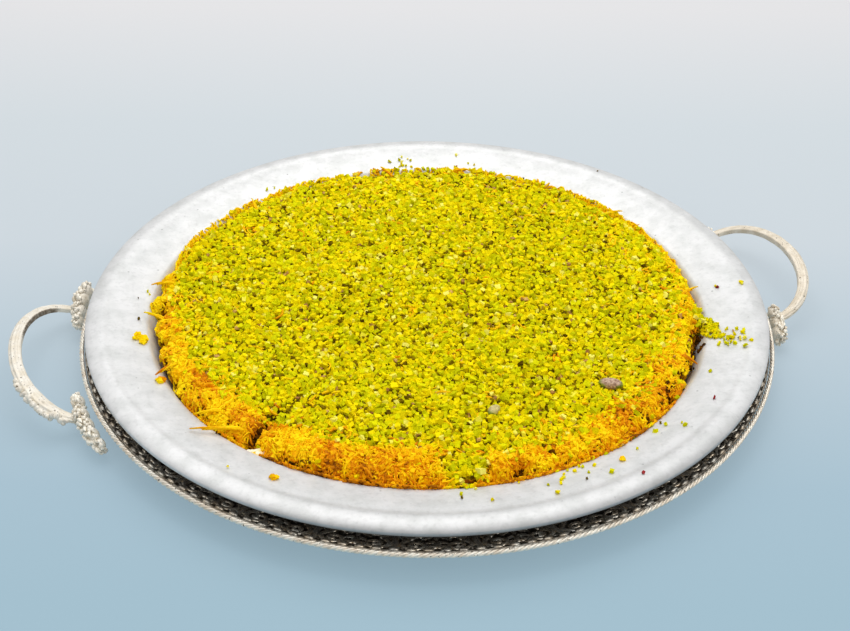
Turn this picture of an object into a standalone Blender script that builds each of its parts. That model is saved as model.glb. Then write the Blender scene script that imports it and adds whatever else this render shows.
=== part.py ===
"""A round kunafa strewn with ground pistachio, in a white metal platter on a pierced silver tray.

Runs in Blender 4.5, from the text editor or with blender --background --python part.py.
Lengths are in metres and +Z is up. The origin is on the ground under the middle of the tray,
and the tray's two handles point along +X and -X.
"""

import math
import random

import bmesh
import bpy
from mathutils import Euler, Matrix, Vector, geometry, noise

MM = 0.001

# Clearance kept between pieces that touch
GAP = 0.3 * MM

# Tray floor
FLOOR_RADIUS = 171.0 * MM
FLOOR_SHEET = 1.5 * MM
FLOOR_BEAD_WIDTH = 2.4 * MM
FLOOR_BEAD_HEIGHT = 3.6 * MM

# Platter
PLATTER_RADIUS = 200.0 * MM
PLATTER_SHEET = 1.2 * MM
WELL_FLOOR_RADIUS = 150.0 * MM
WELL_EDGE_RADIUS = 164.6 * MM
WELL_EDGE_HEIGHT = 23.0 * MM
FLANGE_RADIUS = 187.5 * MM
LIP_WIDTH = 12.0 * MM
LIP_DROP = 2.9 * MM
LIP_HEIGHT = 26.2 * MM
PLATTER_SEGMENTS = 60
FLOOR_SEGMENTS = 48

# Pierced gallery between the tray's floor and its rope rim
GALLERY_FOOT_HEIGHT = 2.7 * MM
GALLERY_TOP_HEIGHT = 15.4 * MM
GALLERY_SHEET = 1.6 * MM
GALLERY_CELLS = 30
OPENING_WIDTH = 0.37
OPENING_LENGTH = 0.40

# Rope rim
ROPE_RADIUS = 203.0 * MM
ROPE_HEIGHT = 15.7 * MM
ROPE_THICKNESS = 3.2 * MM
ROPE_SEGMENTS = 96
ROPE_SIDES = 5

# Handles
HANDLE_HALF_WIDTHS = {"handle_right": 49.0 * MM, "handle_left": 53.0 * MM}
HANDLE_REACHES = {"handle_right": 30.2 * MM, "handle_left": 31.4 * MM}
HANDLE_SQUARENESS = 0.9
HANDLE_ROOT_X = 206.9 * MM
HANDLE_ROOT_HEIGHT = 9.6 * MM
HANDLE_TOP_HEIGHT = 24.2 * MM
HANDLE_BEARINGS = {"handle_right": 0.8, "handle_left": 178.9}
HANDLE_WIDTH = 9.2 * MM
HANDLE_DEPTH = 5.8 * MM
HANDLE_ROOT_SHARE = 0.76
HANDLE_STEPS = 18
HANDLE_SIDES = 6

# How much the leafy arm of each handle is thicker, where that is along the bow and how far it runs
HANDLE_SWELL = {"handle_right": 0.0, "handle_left": 0.26}
SWELL_TURN = 0.55
SWELL_SPAN = 0.40

# Leaf lobes cast on at the two roots of each handle, first the root at turn 0: offset along the
# rim away from the handle's middle, height, and length
LEAF_SPRAYS = {
    "handle_right": (
        ((0.0 * MM, 10.6 * MM, 12.0 * MM), (-6.0 * MM, 11.6 * MM, 10.0 * MM)),
        (
            (5.5 * MM, 10.4 * MM, 12.6 * MM),
            (14.0 * MM, 8.6 * MM, 13.6 * MM),
            (0.5 * MM, 14.2 * MM, 9.6 * MM),
        ),
    ),
    "handle_left": (
        (
            (-8.7 * MM, 13.4 * MM, 10.4 * MM),
            (0.5 * MM, 10.6 * MM, 13.0 * MM),
            (9.5 * MM, 10.4 * MM, 13.0 * MM),
            (18.0 * MM, 9.8 * MM, 12.6 * MM),
            (25.6 * MM, 8.8 * MM, 9.6 * MM),
        ),
        (
            (11.4 * MM, 15.4 * MM, 11.8 * MM),
            (3.8 * MM, 14.2 * MM, 13.2 * MM),
            (-5.0 * MM, 12.0 * MM, 12.4 * MM),
            (-13.4 * MM, 10.8 * MM, 9.6 * MM),
        ),
    ),
}
LEAF_THICKNESS = 0.68
LEAF_HEIGHT = 0.86
LEAF_INNER = 205.5 * MM
LEAF_LEAN = 14.0

# Kunafa
CAKE_RADIUS = 158.8 * MM
CAKE_TOP = 24.6 * MM
CAKE_CROWN = 1.2 * MM
CAKE_SPACING = 6.6 * MM
CAKE_EDGE_POINTS = 136
EDGE_ROUNDING = 8.0 * MM
EDGE_DROP = 3.4 * MM
EDGE_BAND = 5.2 * MM
EDGE_WOBBLE = 1.4 * MM
BROAD_SWELL = 1.0 * MM
BROAD_SPAN = 46.0 * MM
LUMP_SWELL = 0.9 * MM
LUMP_SPAN = 13.0 * MM
GRAIN_BUMP = 1.1 * MM
WALL_CLEARANCE = 1.4 * MM
WALL_RING_HEIGHTS = (15.5 * MM, 8.5 * MM)
NUT_PIECES = 30
NUT_MARGIN = 16.0 * MM
SEED = 11

# Two whole kernels that lie on the strewn nuts: place, heading, length, width and height
KERNELS = {
    "pistachio_kernel_1": ((76.9 * MM, -106.6 * MM), -24.0, 13.5 * MM, 7.6 * MM, 6.0 * MM),
    "pistachio_kernel_2": ((9.1 * MM, -113.5 * MM), 35.0, 8.6 * MM, 5.6 * MM, 4.6 * MM),
}
KERNEL_BED_RADIUS = 10.5 * MM
KERNEL_BED_EDGE = 7.0 * MM

# Hollows of the top: place, radius and depth
HOLLOWS = (
    ((-104.0 * MM, -93.0 * MM), 7.5 * MM, 2.2 * MM),
    ((-112.0 * MM, -99.0 * MM), 7.5 * MM, 3.4 * MM),
    ((-119.5 * MM, -105.0 * MM), 8.0 * MM, 4.4 * MM),
    ((70.0 * MM, -45.5 * MM), 6.5 * MM, 1.8 * MM),
    ((77.0 * MM, -47.0 * MM), 6.5 * MM, 2.2 * MM),
    ((84.0 * MM, -49.0 * MM), 6.5 * MM, 1.6 * MM),
)

# Clumps that hang over the edge: bearing in degrees, reach past the edge, width and height
CLUMPS = (
    (169.0, 4.5 * MM, 11.0 * MM, 5.0 * MM),
    (159.5, 3.5 * MM, 13.0 * MM, 5.5 * MM),
    (148.0, 2.5 * MM, 9.0 * MM, 4.5 * MM),
    (-20.6, 6.0 * MM, 12.0 * MM, 5.5 * MM),
    (-16.0, 3.5 * MM, 9.0 * MM, 4.5 * MM),
    (-94.0, 4.0 * MM, 15.0 * MM, 5.0 * MM),
    (-126.0, 3.0 * MM, 14.0 * MM, 5.0 * MM),
    (-154.0, 3.0 * MM, 12.0 * MM, 4.8 * MM),
    (72.0, 3.0 * MM, 12.0 * MM, 4.8 * MM),
    (42.0, 3.0 * MM, 10.0 * MM, 4.6 * MM),
    (110.0, 3.0 * MM, 12.0 * MM, 4.8 * MM),
)
CLUMP_HALF_LENGTH = 9.0 * MM
CLUMP_LIFT = 2.4 * MM

# Shreds of pastry that lie out over the flange: bearing, turn from it, length and reach past the edge
SHREDS = (
    (-148.1, -38.0, 31.0 * MM, 16.5 * MM),
    (-151.0, -20.0, 16.0 * MM, 7.5 * MM),
    (-165.5, 24.0, 17.0 * MM, 9.5 * MM),
    (173.0, -30.0, 15.0 * MM, 8.0 * MM),
    (163.0, 18.0, 16.0 * MM, 8.0 * MM),
    (-113.0, 35.0, 14.0 * MM, 4.5 * MM),
    (-37.0, -32.0, 14.0 * MM, 5.0 * MM),
    (-9.0, 28.0, 14.0 * MM, 5.5 * MM),
    (122.0, -25.0, 15.0 * MM, 6.5 * MM),
    (88.0, 30.0, 14.0 * MM, 5.5 * MM),
    (25.0, -28.0, 15.0 * MM, 6.0 * MM),
)
SHRED_THICKNESS = 1.9 * MM
SHRED_TIP_LIFT = 3.3 * MM
SHRED_TIP_SLOPE = 0.06

# Heights that follow from the sizes above
PLATTER_REST = FLOOR_SHEET + GAP
WELL_FLOOR = PLATTER_REST + PLATTER_SHEET
CAKE_BASE = WELL_FLOOR + GAP
GALLERY_INNER = FLOOR_RADIUS + GAP
GALLERY_OUTER = ROPE_RADIUS - ROPE_THICKNESS / 2 - GAP


def clear_scene():
    """Removes every object of the start scene."""
    for item in list(bpy.data.objects):
        bpy.data.objects.remove(item, do_unlink=True)


def linear(red, green, blue):
    """Linear colour of a screen colour given in 0 to 255."""
    def channel(value):
        share = value / 255
        return share / 12.92 if share <= 0.04045 else ((share + 0.055) / 1.055) ** 2.4

    return (channel(red), channel(green), channel(blue), 1.0)


def material(name, colour, roughness, metallic):
    """A Principled material of one colour."""
    made = bpy.data.materials.new(name)
    made.use_nodes = True
    shader = made.node_tree.nodes["Principled BSDF"]
    shader.inputs["Base Color"].default_value = colour
    shader.inputs["Roughness"].default_value = roughness
    shader.inputs["Metallic"].default_value = metallic
    made.diffuse_color = colour
    return made


def add_object(name, shape, finish, smooth_angle=None):
    """Turns a closed bmesh into an object of the scene with outward faces."""
    bmesh.ops.recalc_face_normals(shape, faces=shape.faces)
    mesh = bpy.data.meshes.new(name)
    shape.to_mesh(mesh)
    shape.free()
    if smooth_angle is not None:
        mesh.shade_smooth()
        mesh.set_sharp_from_angle(angle=math.radians(smooth_angle))
    if finish is not None:
        mesh.materials.append(finish)
    made = bpy.data.objects.new(name, mesh)
    bpy.context.scene.collection.objects.link(made)
    return made


def fuse(body, pieces):
    """Joins loose pieces to a body with one Boolean union and removes them."""
    group = bpy.data.collections.new(body.name + "_pieces")
    bpy.context.scene.collection.children.link(group)
    for piece in pieces:
        bpy.context.scene.collection.objects.unlink(piece)
        group.objects.link(piece)
    union = body.modifiers.new("Fuse", "BOOLEAN")
    union.operation = "UNION"
    union.operand_type = "COLLECTION"
    union.collection = group
    union.solver = "EXACT"
    bpy.context.view_layer.objects.active = body
    bpy.ops.object.modifier_apply(modifier=union.name)
    for piece in pieces:
        bpy.data.objects.remove(piece, do_unlink=True)
    bpy.data.collections.remove(group)


def polar(radius, angle, height):
    """A point at a radius and an angle in radians about Z."""
    return Vector((radius * math.cos(angle), radius * math.sin(angle), height))


def bridge(shape, first, second):
    """Quads, or triangles to a single point, between two rings of vertices."""
    count = max(len(first), len(second))
    for i in range(count):
        j = (i + 1) % count
        if len(first) == 1:
            shape.faces.new((first[0], second[i], second[j]))
        elif len(second) == 1:
            shape.faces.new((first[i], first[j], second[0]))
        else:
            shape.faces.new((first[i], first[j], second[j], second[i]))


def turned(name, outline, segments, finish):
    """A solid of revolution about Z.

    The outline lists radius and height. It either starts and ends on the axis, or goes once
    round the section of a ring.
    """
    shape = bmesh.new()
    rings = []
    for radius, height in outline:
        if radius == 0:
            rings.append([shape.verts.new((0, 0, height))])
            continue
        step = 2 * math.pi / segments
        rings.append([shape.verts.new(polar(radius, i * step, height)) for i in range(segments)])
    for first, second in zip(rings, rings[1:]):
        bridge(shape, first, second)
    if outline[0][0] > 0:
        bridge(shape, rings[-1], rings[0])
    return add_object(name, shape, finish, smooth_angle=30)


def ellipse_arc(centre, width, height, start, end, steps):
    """Points on an ellipse between two angles in degrees."""
    points = []
    for i in range(steps + 1):
        angle = math.radians(start + (end - start) * i / steps)
        points.append((centre[0] + width * math.cos(angle), centre[1] + height * math.sin(angle)))
    return points


def below(path, thickness):
    """The path moved down its own normals by a thickness, for the under side of a sheet."""
    moved = []
    for i, point in enumerate(path):
        before = Vector(path[max(i - 1, 0)])
        after = Vector(path[min(i + 1, len(path) - 1)])
        along = (after - before).normalized()
        offset = (point[0] + along.y * thickness, point[1] - along.x * thickness)
        moved.append((0.0, offset[1]) if point[0] == 0 else offset)
    return moved


def platter_path():
    """The upper side of the platter from its middle to the edge of its lip."""
    wall_foot = (WELL_FLOOR_RADIUS + 6.0 * MM, WELL_FLOOR + 3.4 * MM)
    wall_head = (WELL_EDGE_RADIUS - 1.4 * MM, WELL_EDGE_HEIGHT - 2.2 * MM)
    lip_centre = (PLATTER_RADIUS - LIP_WIDTH, LIP_HEIGHT)
    path = [(0.0, WELL_FLOOR), (WELL_FLOOR_RADIUS, WELL_FLOOR)]
    path += [wall_foot, wall_head, (WELL_EDGE_RADIUS + 0.8 * MM, WELL_EDGE_HEIGHT + 0.2 * MM)]
    path.append((FLANGE_RADIUS, LIP_HEIGHT + LIP_DROP))
    path += ellipse_arc(lip_centre, LIP_WIDTH, LIP_DROP, 63, 0, 3)
    return path


def build_platter(finish):
    """The white metal platter: a flat well, a rising wall, a dished flange and a rolled lip."""
    upper = platter_path()
    return turned("platter", upper + below(upper, PLATTER_SHEET)[::-1], PLATTER_SEGMENTS, finish)


def build_tray_floor(finish):
    """The tray's flat floor, with a raised bead at its edge."""
    bead = FLOOR_RADIUS - FLOOR_BEAD_WIDTH
    outline = [
        (0.0, FLOOR_SHEET),
        (bead, FLOOR_SHEET),
        (bead + 0.6 * MM, FLOOR_BEAD_HEIGHT),
        (FLOOR_RADIUS, FLOOR_BEAD_HEIGHT - 0.4 * MM),
        (FLOOR_RADIUS, 0.0),
        (0.0, 0.0),
    ]
    return turned("tray_floor", outline, FLOOR_SEGMENTS, finish)


def gallery_point(turn, share, side):
    """A point of the pierced gallery.

    turn is the angle in radians, share runs from 0 at its foot to 1 at the rope, and side is 1 on
    the upper face and -1 on the lower one.
    """
    radius = GALLERY_INNER + (GALLERY_OUTER - GALLERY_INNER) * share
    rise = GALLERY_TOP_HEIGHT - GALLERY_FOOT_HEIGHT
    height = GALLERY_FOOT_HEIGHT + rise * (0.75 * share + 0.25 * share**2)
    return polar(radius, turn, height + side * GALLERY_SHEET / 2)


def build_gallery(finish):
    """The pierced gallery: a sloping band with a pointed opening in each of its cells."""
    shape = bmesh.new()
    step = 2 * math.pi / GALLERY_CELLS
    frame = ((0, 0), (0.5, 0), (1, 0), (1, 0.5), (1, 1), (0.5, 1), (0, 1), (0, 0.5))
    made = {}

    def corner(across, along, side):
        """A vertex of the band, shared between the cells that meet there."""
        key = (round(across * 2) % (2 * GALLERY_CELLS), along, side)
        if key not in made:
            made[key] = shape.verts.new(gallery_point(across * step, along, side))
        return made[key]

    for cell in range(GALLERY_CELLS):
        loops = {}
        for side in (1, -1):
            outer = [corner(cell + a, s, side) for a, s in frame]
            inner = []
            for across, along in frame:
                direction = Vector((across - 0.5, along - 0.5)).normalized()
                spread = 0.5 + OPENING_WIDTH * direction.x * (1.0 - 0.25 * direction.y)
                share = 0.5 + OPENING_LENGTH * direction.y
                inner.append(shape.verts.new(gallery_point((cell + spread) * step, share, side)))
            bridge(shape, outer, inner)
            loops[side] = (outer, inner)
        bridge(shape, loops[1][1], loops[-1][1])
        for first, second in ((0, 1), (1, 2), (4, 5), (5, 6)):
            top, bottom = loops[1][0], loops[-1][0]
            shape.faces.new((top[first], top[second], bottom[second], bottom[first]))
    return add_object("gallery", shape, finish)


def build_rope_rim(finish):
    """The rope that runs round the gallery's upper edge."""
    section = ellipse_arc(
        (ROPE_RADIUS, ROPE_HEIGHT), ROPE_THICKNESS / 2, ROPE_THICKNESS / 2, 0, 360, ROPE_SIDES
    )
    return turned("rope_rim", section[:-1], ROPE_SEGMENTS, finish)


def handle_centre(name, turn):
    """A point on a handle's centre line, from one root at turn 0 to the other at pi."""
    turn = min(max(turn, 0.0), math.pi)
    rise = HANDLE_TOP_HEIGHT - HANDLE_ROOT_HEIGHT
    return Vector(
        (
            HANDLE_ROOT_X + HANDLE_REACHES[name] * math.sin(turn) ** HANDLE_SQUARENESS,
            HANDLE_HALF_WIDTHS[name] * math.cos(turn),
            HANDLE_ROOT_HEIGHT + rise * math.sin(turn),
        )
    )


def build_handle_bow(name, finish):
    """The bow of one handle, thinner towards its two roots."""
    shape = bmesh.new()
    rings = []
    for i in range(HANDLE_STEPS + 1):
        turn = math.pi * i / HANDLE_STEPS
        centre = handle_centre(name, turn)
        along = (handle_centre(name, turn + 0.01) - handle_centre(name, turn - 0.01)).normalized()
        side = along.cross(Vector((0, 0, 1))).normalized()
        up = side.cross(along)
        share = HANDLE_ROOT_SHARE + (1 - HANDLE_ROOT_SHARE) * math.sin(turn)
        share += HANDLE_SWELL[name] * math.exp(-(((turn - SWELL_TURN) / SWELL_SPAN) ** 2))
        ring = []
        for k in range(HANDLE_SIDES):
            angle = 2 * math.pi * (k + 0.5) / HANDLE_SIDES
            across = side * (HANDLE_WIDTH / 2 * share * math.cos(angle))
            over = up * (HANDLE_DEPTH / 2 * share * math.sin(angle))
            ring.append(shape.verts.new(centre + across + over))
        rings.append(ring)
    for first, second in zip(rings, rings[1:]):
        bridge(shape, first, second)
    shape.faces.new(rings[0])
    shape.faces.new(rings[-1])
    return add_object(name, shape, finish)


def build_lobe(name, centre, size, bearing, lean, finish):
    """One rounded leaf lobe, flat towards the rim it lies against."""
    shape = bmesh.new()
    bmesh.ops.create_uvsphere(shape, u_segments=6, v_segments=4, radius=0.5)
    turn = Matrix.Rotation(bearing, 4, "Z") @ Matrix.Rotation(lean, 4, "Y")
    place = Matrix.Translation(centre) @ turn @ Matrix.Diagonal((*size, 1.0))
    bmesh.ops.transform(shape, matrix=place, verts=shape.verts)
    return add_object(name, shape, finish)


def build_handle(name, finish):
    """One handle along +X: the bow with a spray of leaf lobes cast on at each root."""
    bow = build_handle_bow(name, finish)
    lobes = []
    root_bearing = math.atan2(HANDLE_HALF_WIDTHS[name], HANDLE_ROOT_X)
    for end, spray in zip((1, -1), LEAF_SPRAYS[name]):
        for i, (offset, height, length) in enumerate(spray):
            radius = LEAF_INNER + LEAF_THICKNESS * length / 2
            bearing = end * (root_bearing + offset / radius)
            lobes.append(
                build_lobe(
                    f"lobe_{end}_{i}",
                    polar(radius, bearing, height),
                    (LEAF_THICKNESS * length, length, LEAF_HEIGHT * length),
                    bearing,
                    math.radians(LEAF_LEAN),
                    finish,
                )
            )
    fuse(bow, lobes)
    return bow


def hollow_depth(x, y):
    """How far the hollows of the top sink at a place."""
    depth = 0.0
    for (centre_x, centre_y), radius, deepest in HOLLOWS:
        reach = math.hypot(x - centre_x, y - centre_y) / radius
        depth = max(depth, deepest * math.exp(-(reach**2)))
    return depth


def swell(x, y):
    """The uneven rise and fall of the kunafa's top at a place."""
    broad = noise.noise(Vector((x / BROAD_SPAN, y / BROAD_SPAN, 3.1)))
    lump = noise.noise(Vector((x / LUMP_SPAN, y / LUMP_SPAN, 8.4)))
    return BROAD_SWELL * broad + LUMP_SWELL * lump


def top_height(x, y):
    """Height of the kunafa's top at a place, before the small bumps."""
    reach = math.hypot(x, y) / CAKE_RADIUS
    crown = CAKE_CROWN * (1 - reach**2)
    edge = max(0.0, math.hypot(x, y) - (CAKE_RADIUS - EDGE_ROUNDING)) / EDGE_ROUNDING
    return CAKE_TOP + crown + swell(x, y) - hollow_depth(x, y) - EDGE_DROP * edge**2.2


def bed_share(x, y):
    """How much a place belongs to the bed under a whole kernel, and that bed's height."""
    for (centre_x, centre_y), *_ in KERNELS.values():
        away = math.hypot(x - centre_x, y - centre_y) - KERNEL_BED_RADIUS
        if away < KERNEL_BED_EDGE:
            share = 1.0 if away <= 0 else 1 - away / KERNEL_BED_EDGE
            return share, top_height(centre_x, centre_y)
    return 0.0, 0.0


def edge_wobble(bearing):
    """How far the kunafa's outline strays from a circle at a bearing."""
    around = Vector((math.cos(bearing), math.sin(bearing), 0))
    return EDGE_WOBBLE * (noise.noise(around * 4.0) + noise.noise(around * 17.0))


def well_wall_radius(height):
    """Radius of the well's wall at a height."""
    path = platter_path()[1:5]
    for (inner, low), (outer, high) in zip(path, path[1:]):
        if low <= height <= high:
            return inner + (outer - inner) * (height - low) / (high - low)
    return path[0][0] if height < path[0][1] else path[-1][0]


def top_places():
    """Places of the top's points: a seeded spiral inside, then a ring at the edge.

    Returns the places on a plain disc, in metres, and how many of them are inside.
    """
    rng = random.Random(SEED)
    inner_radius = CAKE_RADIUS - EDGE_BAND
    cell = CAKE_SPACING**2 * math.sqrt(3) / 2
    count = int(math.pi * inner_radius**2 / cell)
    golden = math.pi * (3 - math.sqrt(5))
    places = []
    for i in range(count):
        radius = inner_radius * math.sqrt((i + 0.5) / count)
        stray = 0.16 * CAKE_SPACING
        spot = polar(radius, i * golden, 0)
        places.append(Vector((spot.x + rng.uniform(-stray, stray), spot.y + rng.uniform(-stray, stray))))
    for i in range(CAKE_EDGE_POINTS):
        places.append(polar(CAKE_RADIUS, 2 * math.pi * i / CAKE_EDGE_POINTS, 0).to_2d())
    return places, count


def build_cake_body(finish):
    """The kunafa's own body: a bumpy top, a rounded edge and a wall that follows the well."""
    rng = random.Random(SEED + 1)
    places, inside = top_places()
    points, _, faces, origins, _, _ = geometry.delaunay_2d_cdt(places, [], [], 0, 1e-7)
    shape = bmesh.new()
    verts = [None] * len(points)
    for i, point in enumerate(points):
        bearing = math.atan2(point.y, point.x)
        reach = point.length / CAKE_RADIUS
        stretch = 1 + edge_wobble(bearing) / CAKE_RADIUS * reach**6
        x, y = point.x * stretch, point.y * stretch
        height = top_height(x, y)
        if origins[i][0] < inside:
            height += rng.uniform(-GRAIN_BUMP, GRAIN_BUMP) * (1 - 0.4 * reach)
        share, bed = bed_share(x, y)
        verts[i] = shape.verts.new((x, y, height + (bed - height) * share))
    for face in faces:
        shape.faces.new([verts[i] for i in face])
    edge = [verts[i] for i in range(len(points)) if origins[i][0] >= inside]
    edge.sort(key=lambda vert: math.atan2(vert.co.y, vert.co.x) % (2 * math.pi))
    above = edge
    foot = WELL_FLOOR_RADIUS - WALL_CLEARANCE
    for height in (*WALL_RING_HEIGHTS, CAKE_BASE):
        ring = []
        for vert in edge:
            bearing = math.atan2(vert.co.y, vert.co.x)
            wall = foot if height == CAKE_BASE else well_wall_radius(height) - WALL_CLEARANCE
            ring.append(shape.verts.new(polar(wall + 0.5 * edge_wobble(bearing), bearing, height)))
        bridge(shape, above, ring)
        above = ring
    bridge(shape, above, [shape.verts.new((0, 0, CAKE_BASE))])
    return add_object("kunafa", shape, finish)


def build_nut_piece(name, place, rng, finish):
    """One coarse chip of nut, half sunk in the top."""
    shape = bmesh.new()
    bmesh.ops.create_cube(shape, size=2.0)
    for vert in shape.verts:
        vert.co *= rng.uniform(0.7, 1.1)
    size = Vector((rng.uniform(2.0, 3.0), rng.uniform(1.4, 2.1), rng.uniform(1.2, 1.7))) * MM
    turn = Euler((rng.uniform(-0.5, 0.5), rng.uniform(-0.5, 0.5), rng.uniform(0, math.tau)))
    at = Vector((place.x, place.y, top_height(place.x, place.y) + 0.5 * MM))
    matrix = Matrix.Translation(at) @ turn.to_matrix().to_4x4() @ Matrix.Diagonal((*size, 1.0))
    bmesh.ops.transform(shape, matrix=matrix, verts=shape.verts)
    return add_object(name, shape, finish)


def nut_places(rng):
    """Evenly spread places for the coarse chips, clear of the whole kernels."""
    golden = math.pi * (3 - math.sqrt(5))
    places = []
    for i in range(NUT_PIECES):
        radius = (CAKE_RADIUS - NUT_MARGIN) * math.sqrt((i + 0.5) / NUT_PIECES)
        spot = polar(radius, i * golden + rng.uniform(-0.05, 0.05), 0)
        if bed_share(spot.x, spot.y)[0] == 0:
            places.append(spot)
    return places


def build_clump(name, bearing, reach, width, tall, finish):
    """One clump of strewn nut and pastry that hangs over the edge."""
    shape = bmesh.new()
    bmesh.ops.create_icosphere(shape, subdivisions=1, radius=1.0)
    radius = CAKE_RADIUS + reach - CLUMP_HALF_LENGTH
    height = WELL_EDGE_HEIGHT + CLUMP_LIFT
    matrix = Matrix.Translation(polar(radius, bearing, height)) @ Matrix.Rotation(bearing, 4, "Z")
    matrix = matrix @ Matrix.Diagonal((CLUMP_HALF_LENGTH, width / 2, tall / 2, 1.0))
    bmesh.ops.transform(shape, matrix=matrix, verts=shape.verts)
    return add_object(name, shape, finish)


def build_shred(name, bearing, turn, length, reach, finish):
    """One shred of pastry, from inside the edge out over the flange."""
    shape = bmesh.new()
    tip = polar(CAKE_RADIUS + reach, bearing, WELL_EDGE_HEIGHT + SHRED_TIP_SLOPE * reach + SHRED_TIP_LIFT)
    heading = Vector((math.cos(bearing + turn), math.sin(bearing + turn), 0.16))
    root = tip - heading * length
    root.z = top_height(root.x, root.y) - 0.8 * MM
    middle = (tip + root) / 2 + Vector((0, 0, 0.9 * MM))
    rings = []
    for point, share in ((root, 1.0), (middle, 1.0), (tip, 0.55)):
        side = heading.cross(Vector((0, 0, 1))).normalized() * (SHRED_THICKNESS / 2 * share)
        up = Vector((0, 0, SHRED_THICKNESS / 2 * share))
        rings.append([shape.verts.new(point + offset) for offset in (side, up, -side, -up)])
    for first, second in zip(rings, rings[1:]):
        bridge(shape, first, second)
    shape.faces.new(rings[0])
    shape.faces.new(rings[-1])
    return add_object(name, shape, finish)


def build_kunafa(finish):
    """The whole kunafa: its body with coarse nut chips, clumps and shreds fused on."""
    body = build_cake_body(finish)
    rng = random.Random(SEED + 2)
    pieces = []
    for i, place in enumerate(nut_places(rng)):
        pieces.append(build_nut_piece(f"chip_{i}", place, rng, finish))
    for i, (bearing, reach, width, tall) in enumerate(CLUMPS):
        pieces.append(build_clump(f"clump_{i}", math.radians(bearing), reach, width, tall, finish))
    for i, (bearing, turn, length, reach) in enumerate(SHREDS):
        pieces.append(
            build_shred(f"shred_{i}", math.radians(bearing), math.radians(turn), length, reach, finish)
        )
    fuse(body, pieces)
    return body


def build_kernel(name, place, heading, size, finish):
    """One whole pistachio kernel: a blunt oval with a seam along its back."""
    shape = bmesh.new()
    bmesh.ops.create_uvsphere(shape, u_segments=10, v_segments=7, radius=0.5)
    for vert in shape.verts:
        along = abs(vert.co.x) * 2
        seam = math.exp(-((vert.co.y / 0.12) ** 2)) if vert.co.z > 0.2 else 0.0
        vert.co.y *= 1 - 0.18 * along**2
        vert.co.z *= 1 - 0.12 * seam
    matrix = Matrix.Rotation(math.radians(heading), 4, "Z") @ Matrix.Diagonal((*size, 1.0))
    bmesh.ops.transform(shape, matrix=matrix, verts=shape.verts)
    made = add_object(name, shape, finish, smooth_angle=60)
    made.location = (*place, top_height(*place) + size[2] / 2 + GAP)
    return made


def main():
    """Builds every piece of the filled platter on its tray."""
    clear_scene()
    pastry = material("golden pastry with nuts", linear(214, 196, 28), 0.75, 0.0)
    nut = material("pistachio kernel", linear(150, 140, 70), 0.6, 0.0)
    white_metal = material("satin white metal", linear(226, 228, 229), 0.35, 0.85)
    silver = material("warm silver", linear(214, 204, 190), 0.28, 1.0)
    build_tray_floor(silver)
    build_gallery(silver)
    build_rope_rim(silver)
    for name, bearing in HANDLE_BEARINGS.items():
        build_handle(name, silver).rotation_euler.z = math.radians(bearing)
    build_platter(white_metal)
    build_kunafa(pastry)
    for name, (place, heading, *size) in KERNELS.items():
        build_kernel(name, place, heading, size, nut)


main()
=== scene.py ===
"""A round kunafa strewn with ground pistachio, in a white metal platter on a pierced silver tray.

Lengths are in metres and +Z is up. The tray's two handles point along +X and -X, and the
photograph's side is towards -Y.
"""

import logging
import math
from collections.abc import Sequence
from dataclasses import dataclass, field
from enum import Enum

import bpy
import numpy as np
from mathutils import Matrix, Vector, noise


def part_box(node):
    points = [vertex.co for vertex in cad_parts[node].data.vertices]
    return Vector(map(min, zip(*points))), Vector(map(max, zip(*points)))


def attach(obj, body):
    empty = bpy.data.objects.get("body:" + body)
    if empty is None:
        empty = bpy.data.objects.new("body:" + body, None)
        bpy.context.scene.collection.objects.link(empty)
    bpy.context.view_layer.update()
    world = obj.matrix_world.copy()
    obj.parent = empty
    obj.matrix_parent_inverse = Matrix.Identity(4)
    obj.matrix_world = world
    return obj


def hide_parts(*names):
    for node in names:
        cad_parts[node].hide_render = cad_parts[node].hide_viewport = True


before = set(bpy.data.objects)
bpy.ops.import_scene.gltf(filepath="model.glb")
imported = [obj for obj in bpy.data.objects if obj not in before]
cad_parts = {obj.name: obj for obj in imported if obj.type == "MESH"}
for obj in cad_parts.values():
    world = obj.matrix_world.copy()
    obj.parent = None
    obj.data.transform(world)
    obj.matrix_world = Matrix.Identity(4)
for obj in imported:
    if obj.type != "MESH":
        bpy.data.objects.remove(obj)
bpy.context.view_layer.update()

LOG = logging.getLogger("kunafa_tray")
MM = 0.001
BODY = "root"
FULL_TURN = 2 * math.pi

Colour = tuple[float, float, float]
Place = tuple[float, float, float]
Stops = Sequence[tuple[float, Colour]]
Rows = tuple[tuple[float, ...], ...]
Heap = tuple[float, float, float, int]
Array = np.ndarray
Mesh = tuple[Array, list[Array]]
Piece = bpy.types.Object
Finish = bpy.types.Material
Draws = np.random.Generator
Socket = bpy.types.NodeSocket


def linear(red: float, green: float, blue: float) -> Colour:
    """Converts a screen colour to linear light.

    Args:
        red: Red from 0 to 255.
        green: Green from 0 to 255.
        blue: Blue from 0 to 255.

    Returns:
        The three linear shares.
    """
    shares = np.array([red, green, blue]) / 255
    light = np.where(shares <= 0.04045, shares / 12.92, ((shares + 0.055) / 1.055) ** 2.4)
    return (float(light[0]), float(light[1]), float(light[2]))


def smooth_step(value: Array) -> Array:
    """Eases a value that runs from 0 to 1, and holds it there outside that range."""
    held = np.clip(value, 0, 1)
    return held * held * (3 - 2 * held)


def noise_at(points: Array, span: float, seed: float) -> Array:
    """Smooth noise at an array of points.

    Args:
        points: Points, one row each.
        span: Size of the noise's lumps.
        seed: Offset that picks a noise of its own.

    Returns:
        One value for each point, about -1 to 1.
    """
    return np.array([noise.noise(Vector(row)) for row in points / span + seed])


def polar(radius: Array, bearing: Array, height: Array) -> Array:
    """Points from radius, bearing in radians and height, in the last axis."""
    parts = np.broadcast_arrays(radius * np.cos(bearing), radius * np.sin(bearing), height)
    return np.stack(parts, axis=-1)


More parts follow.
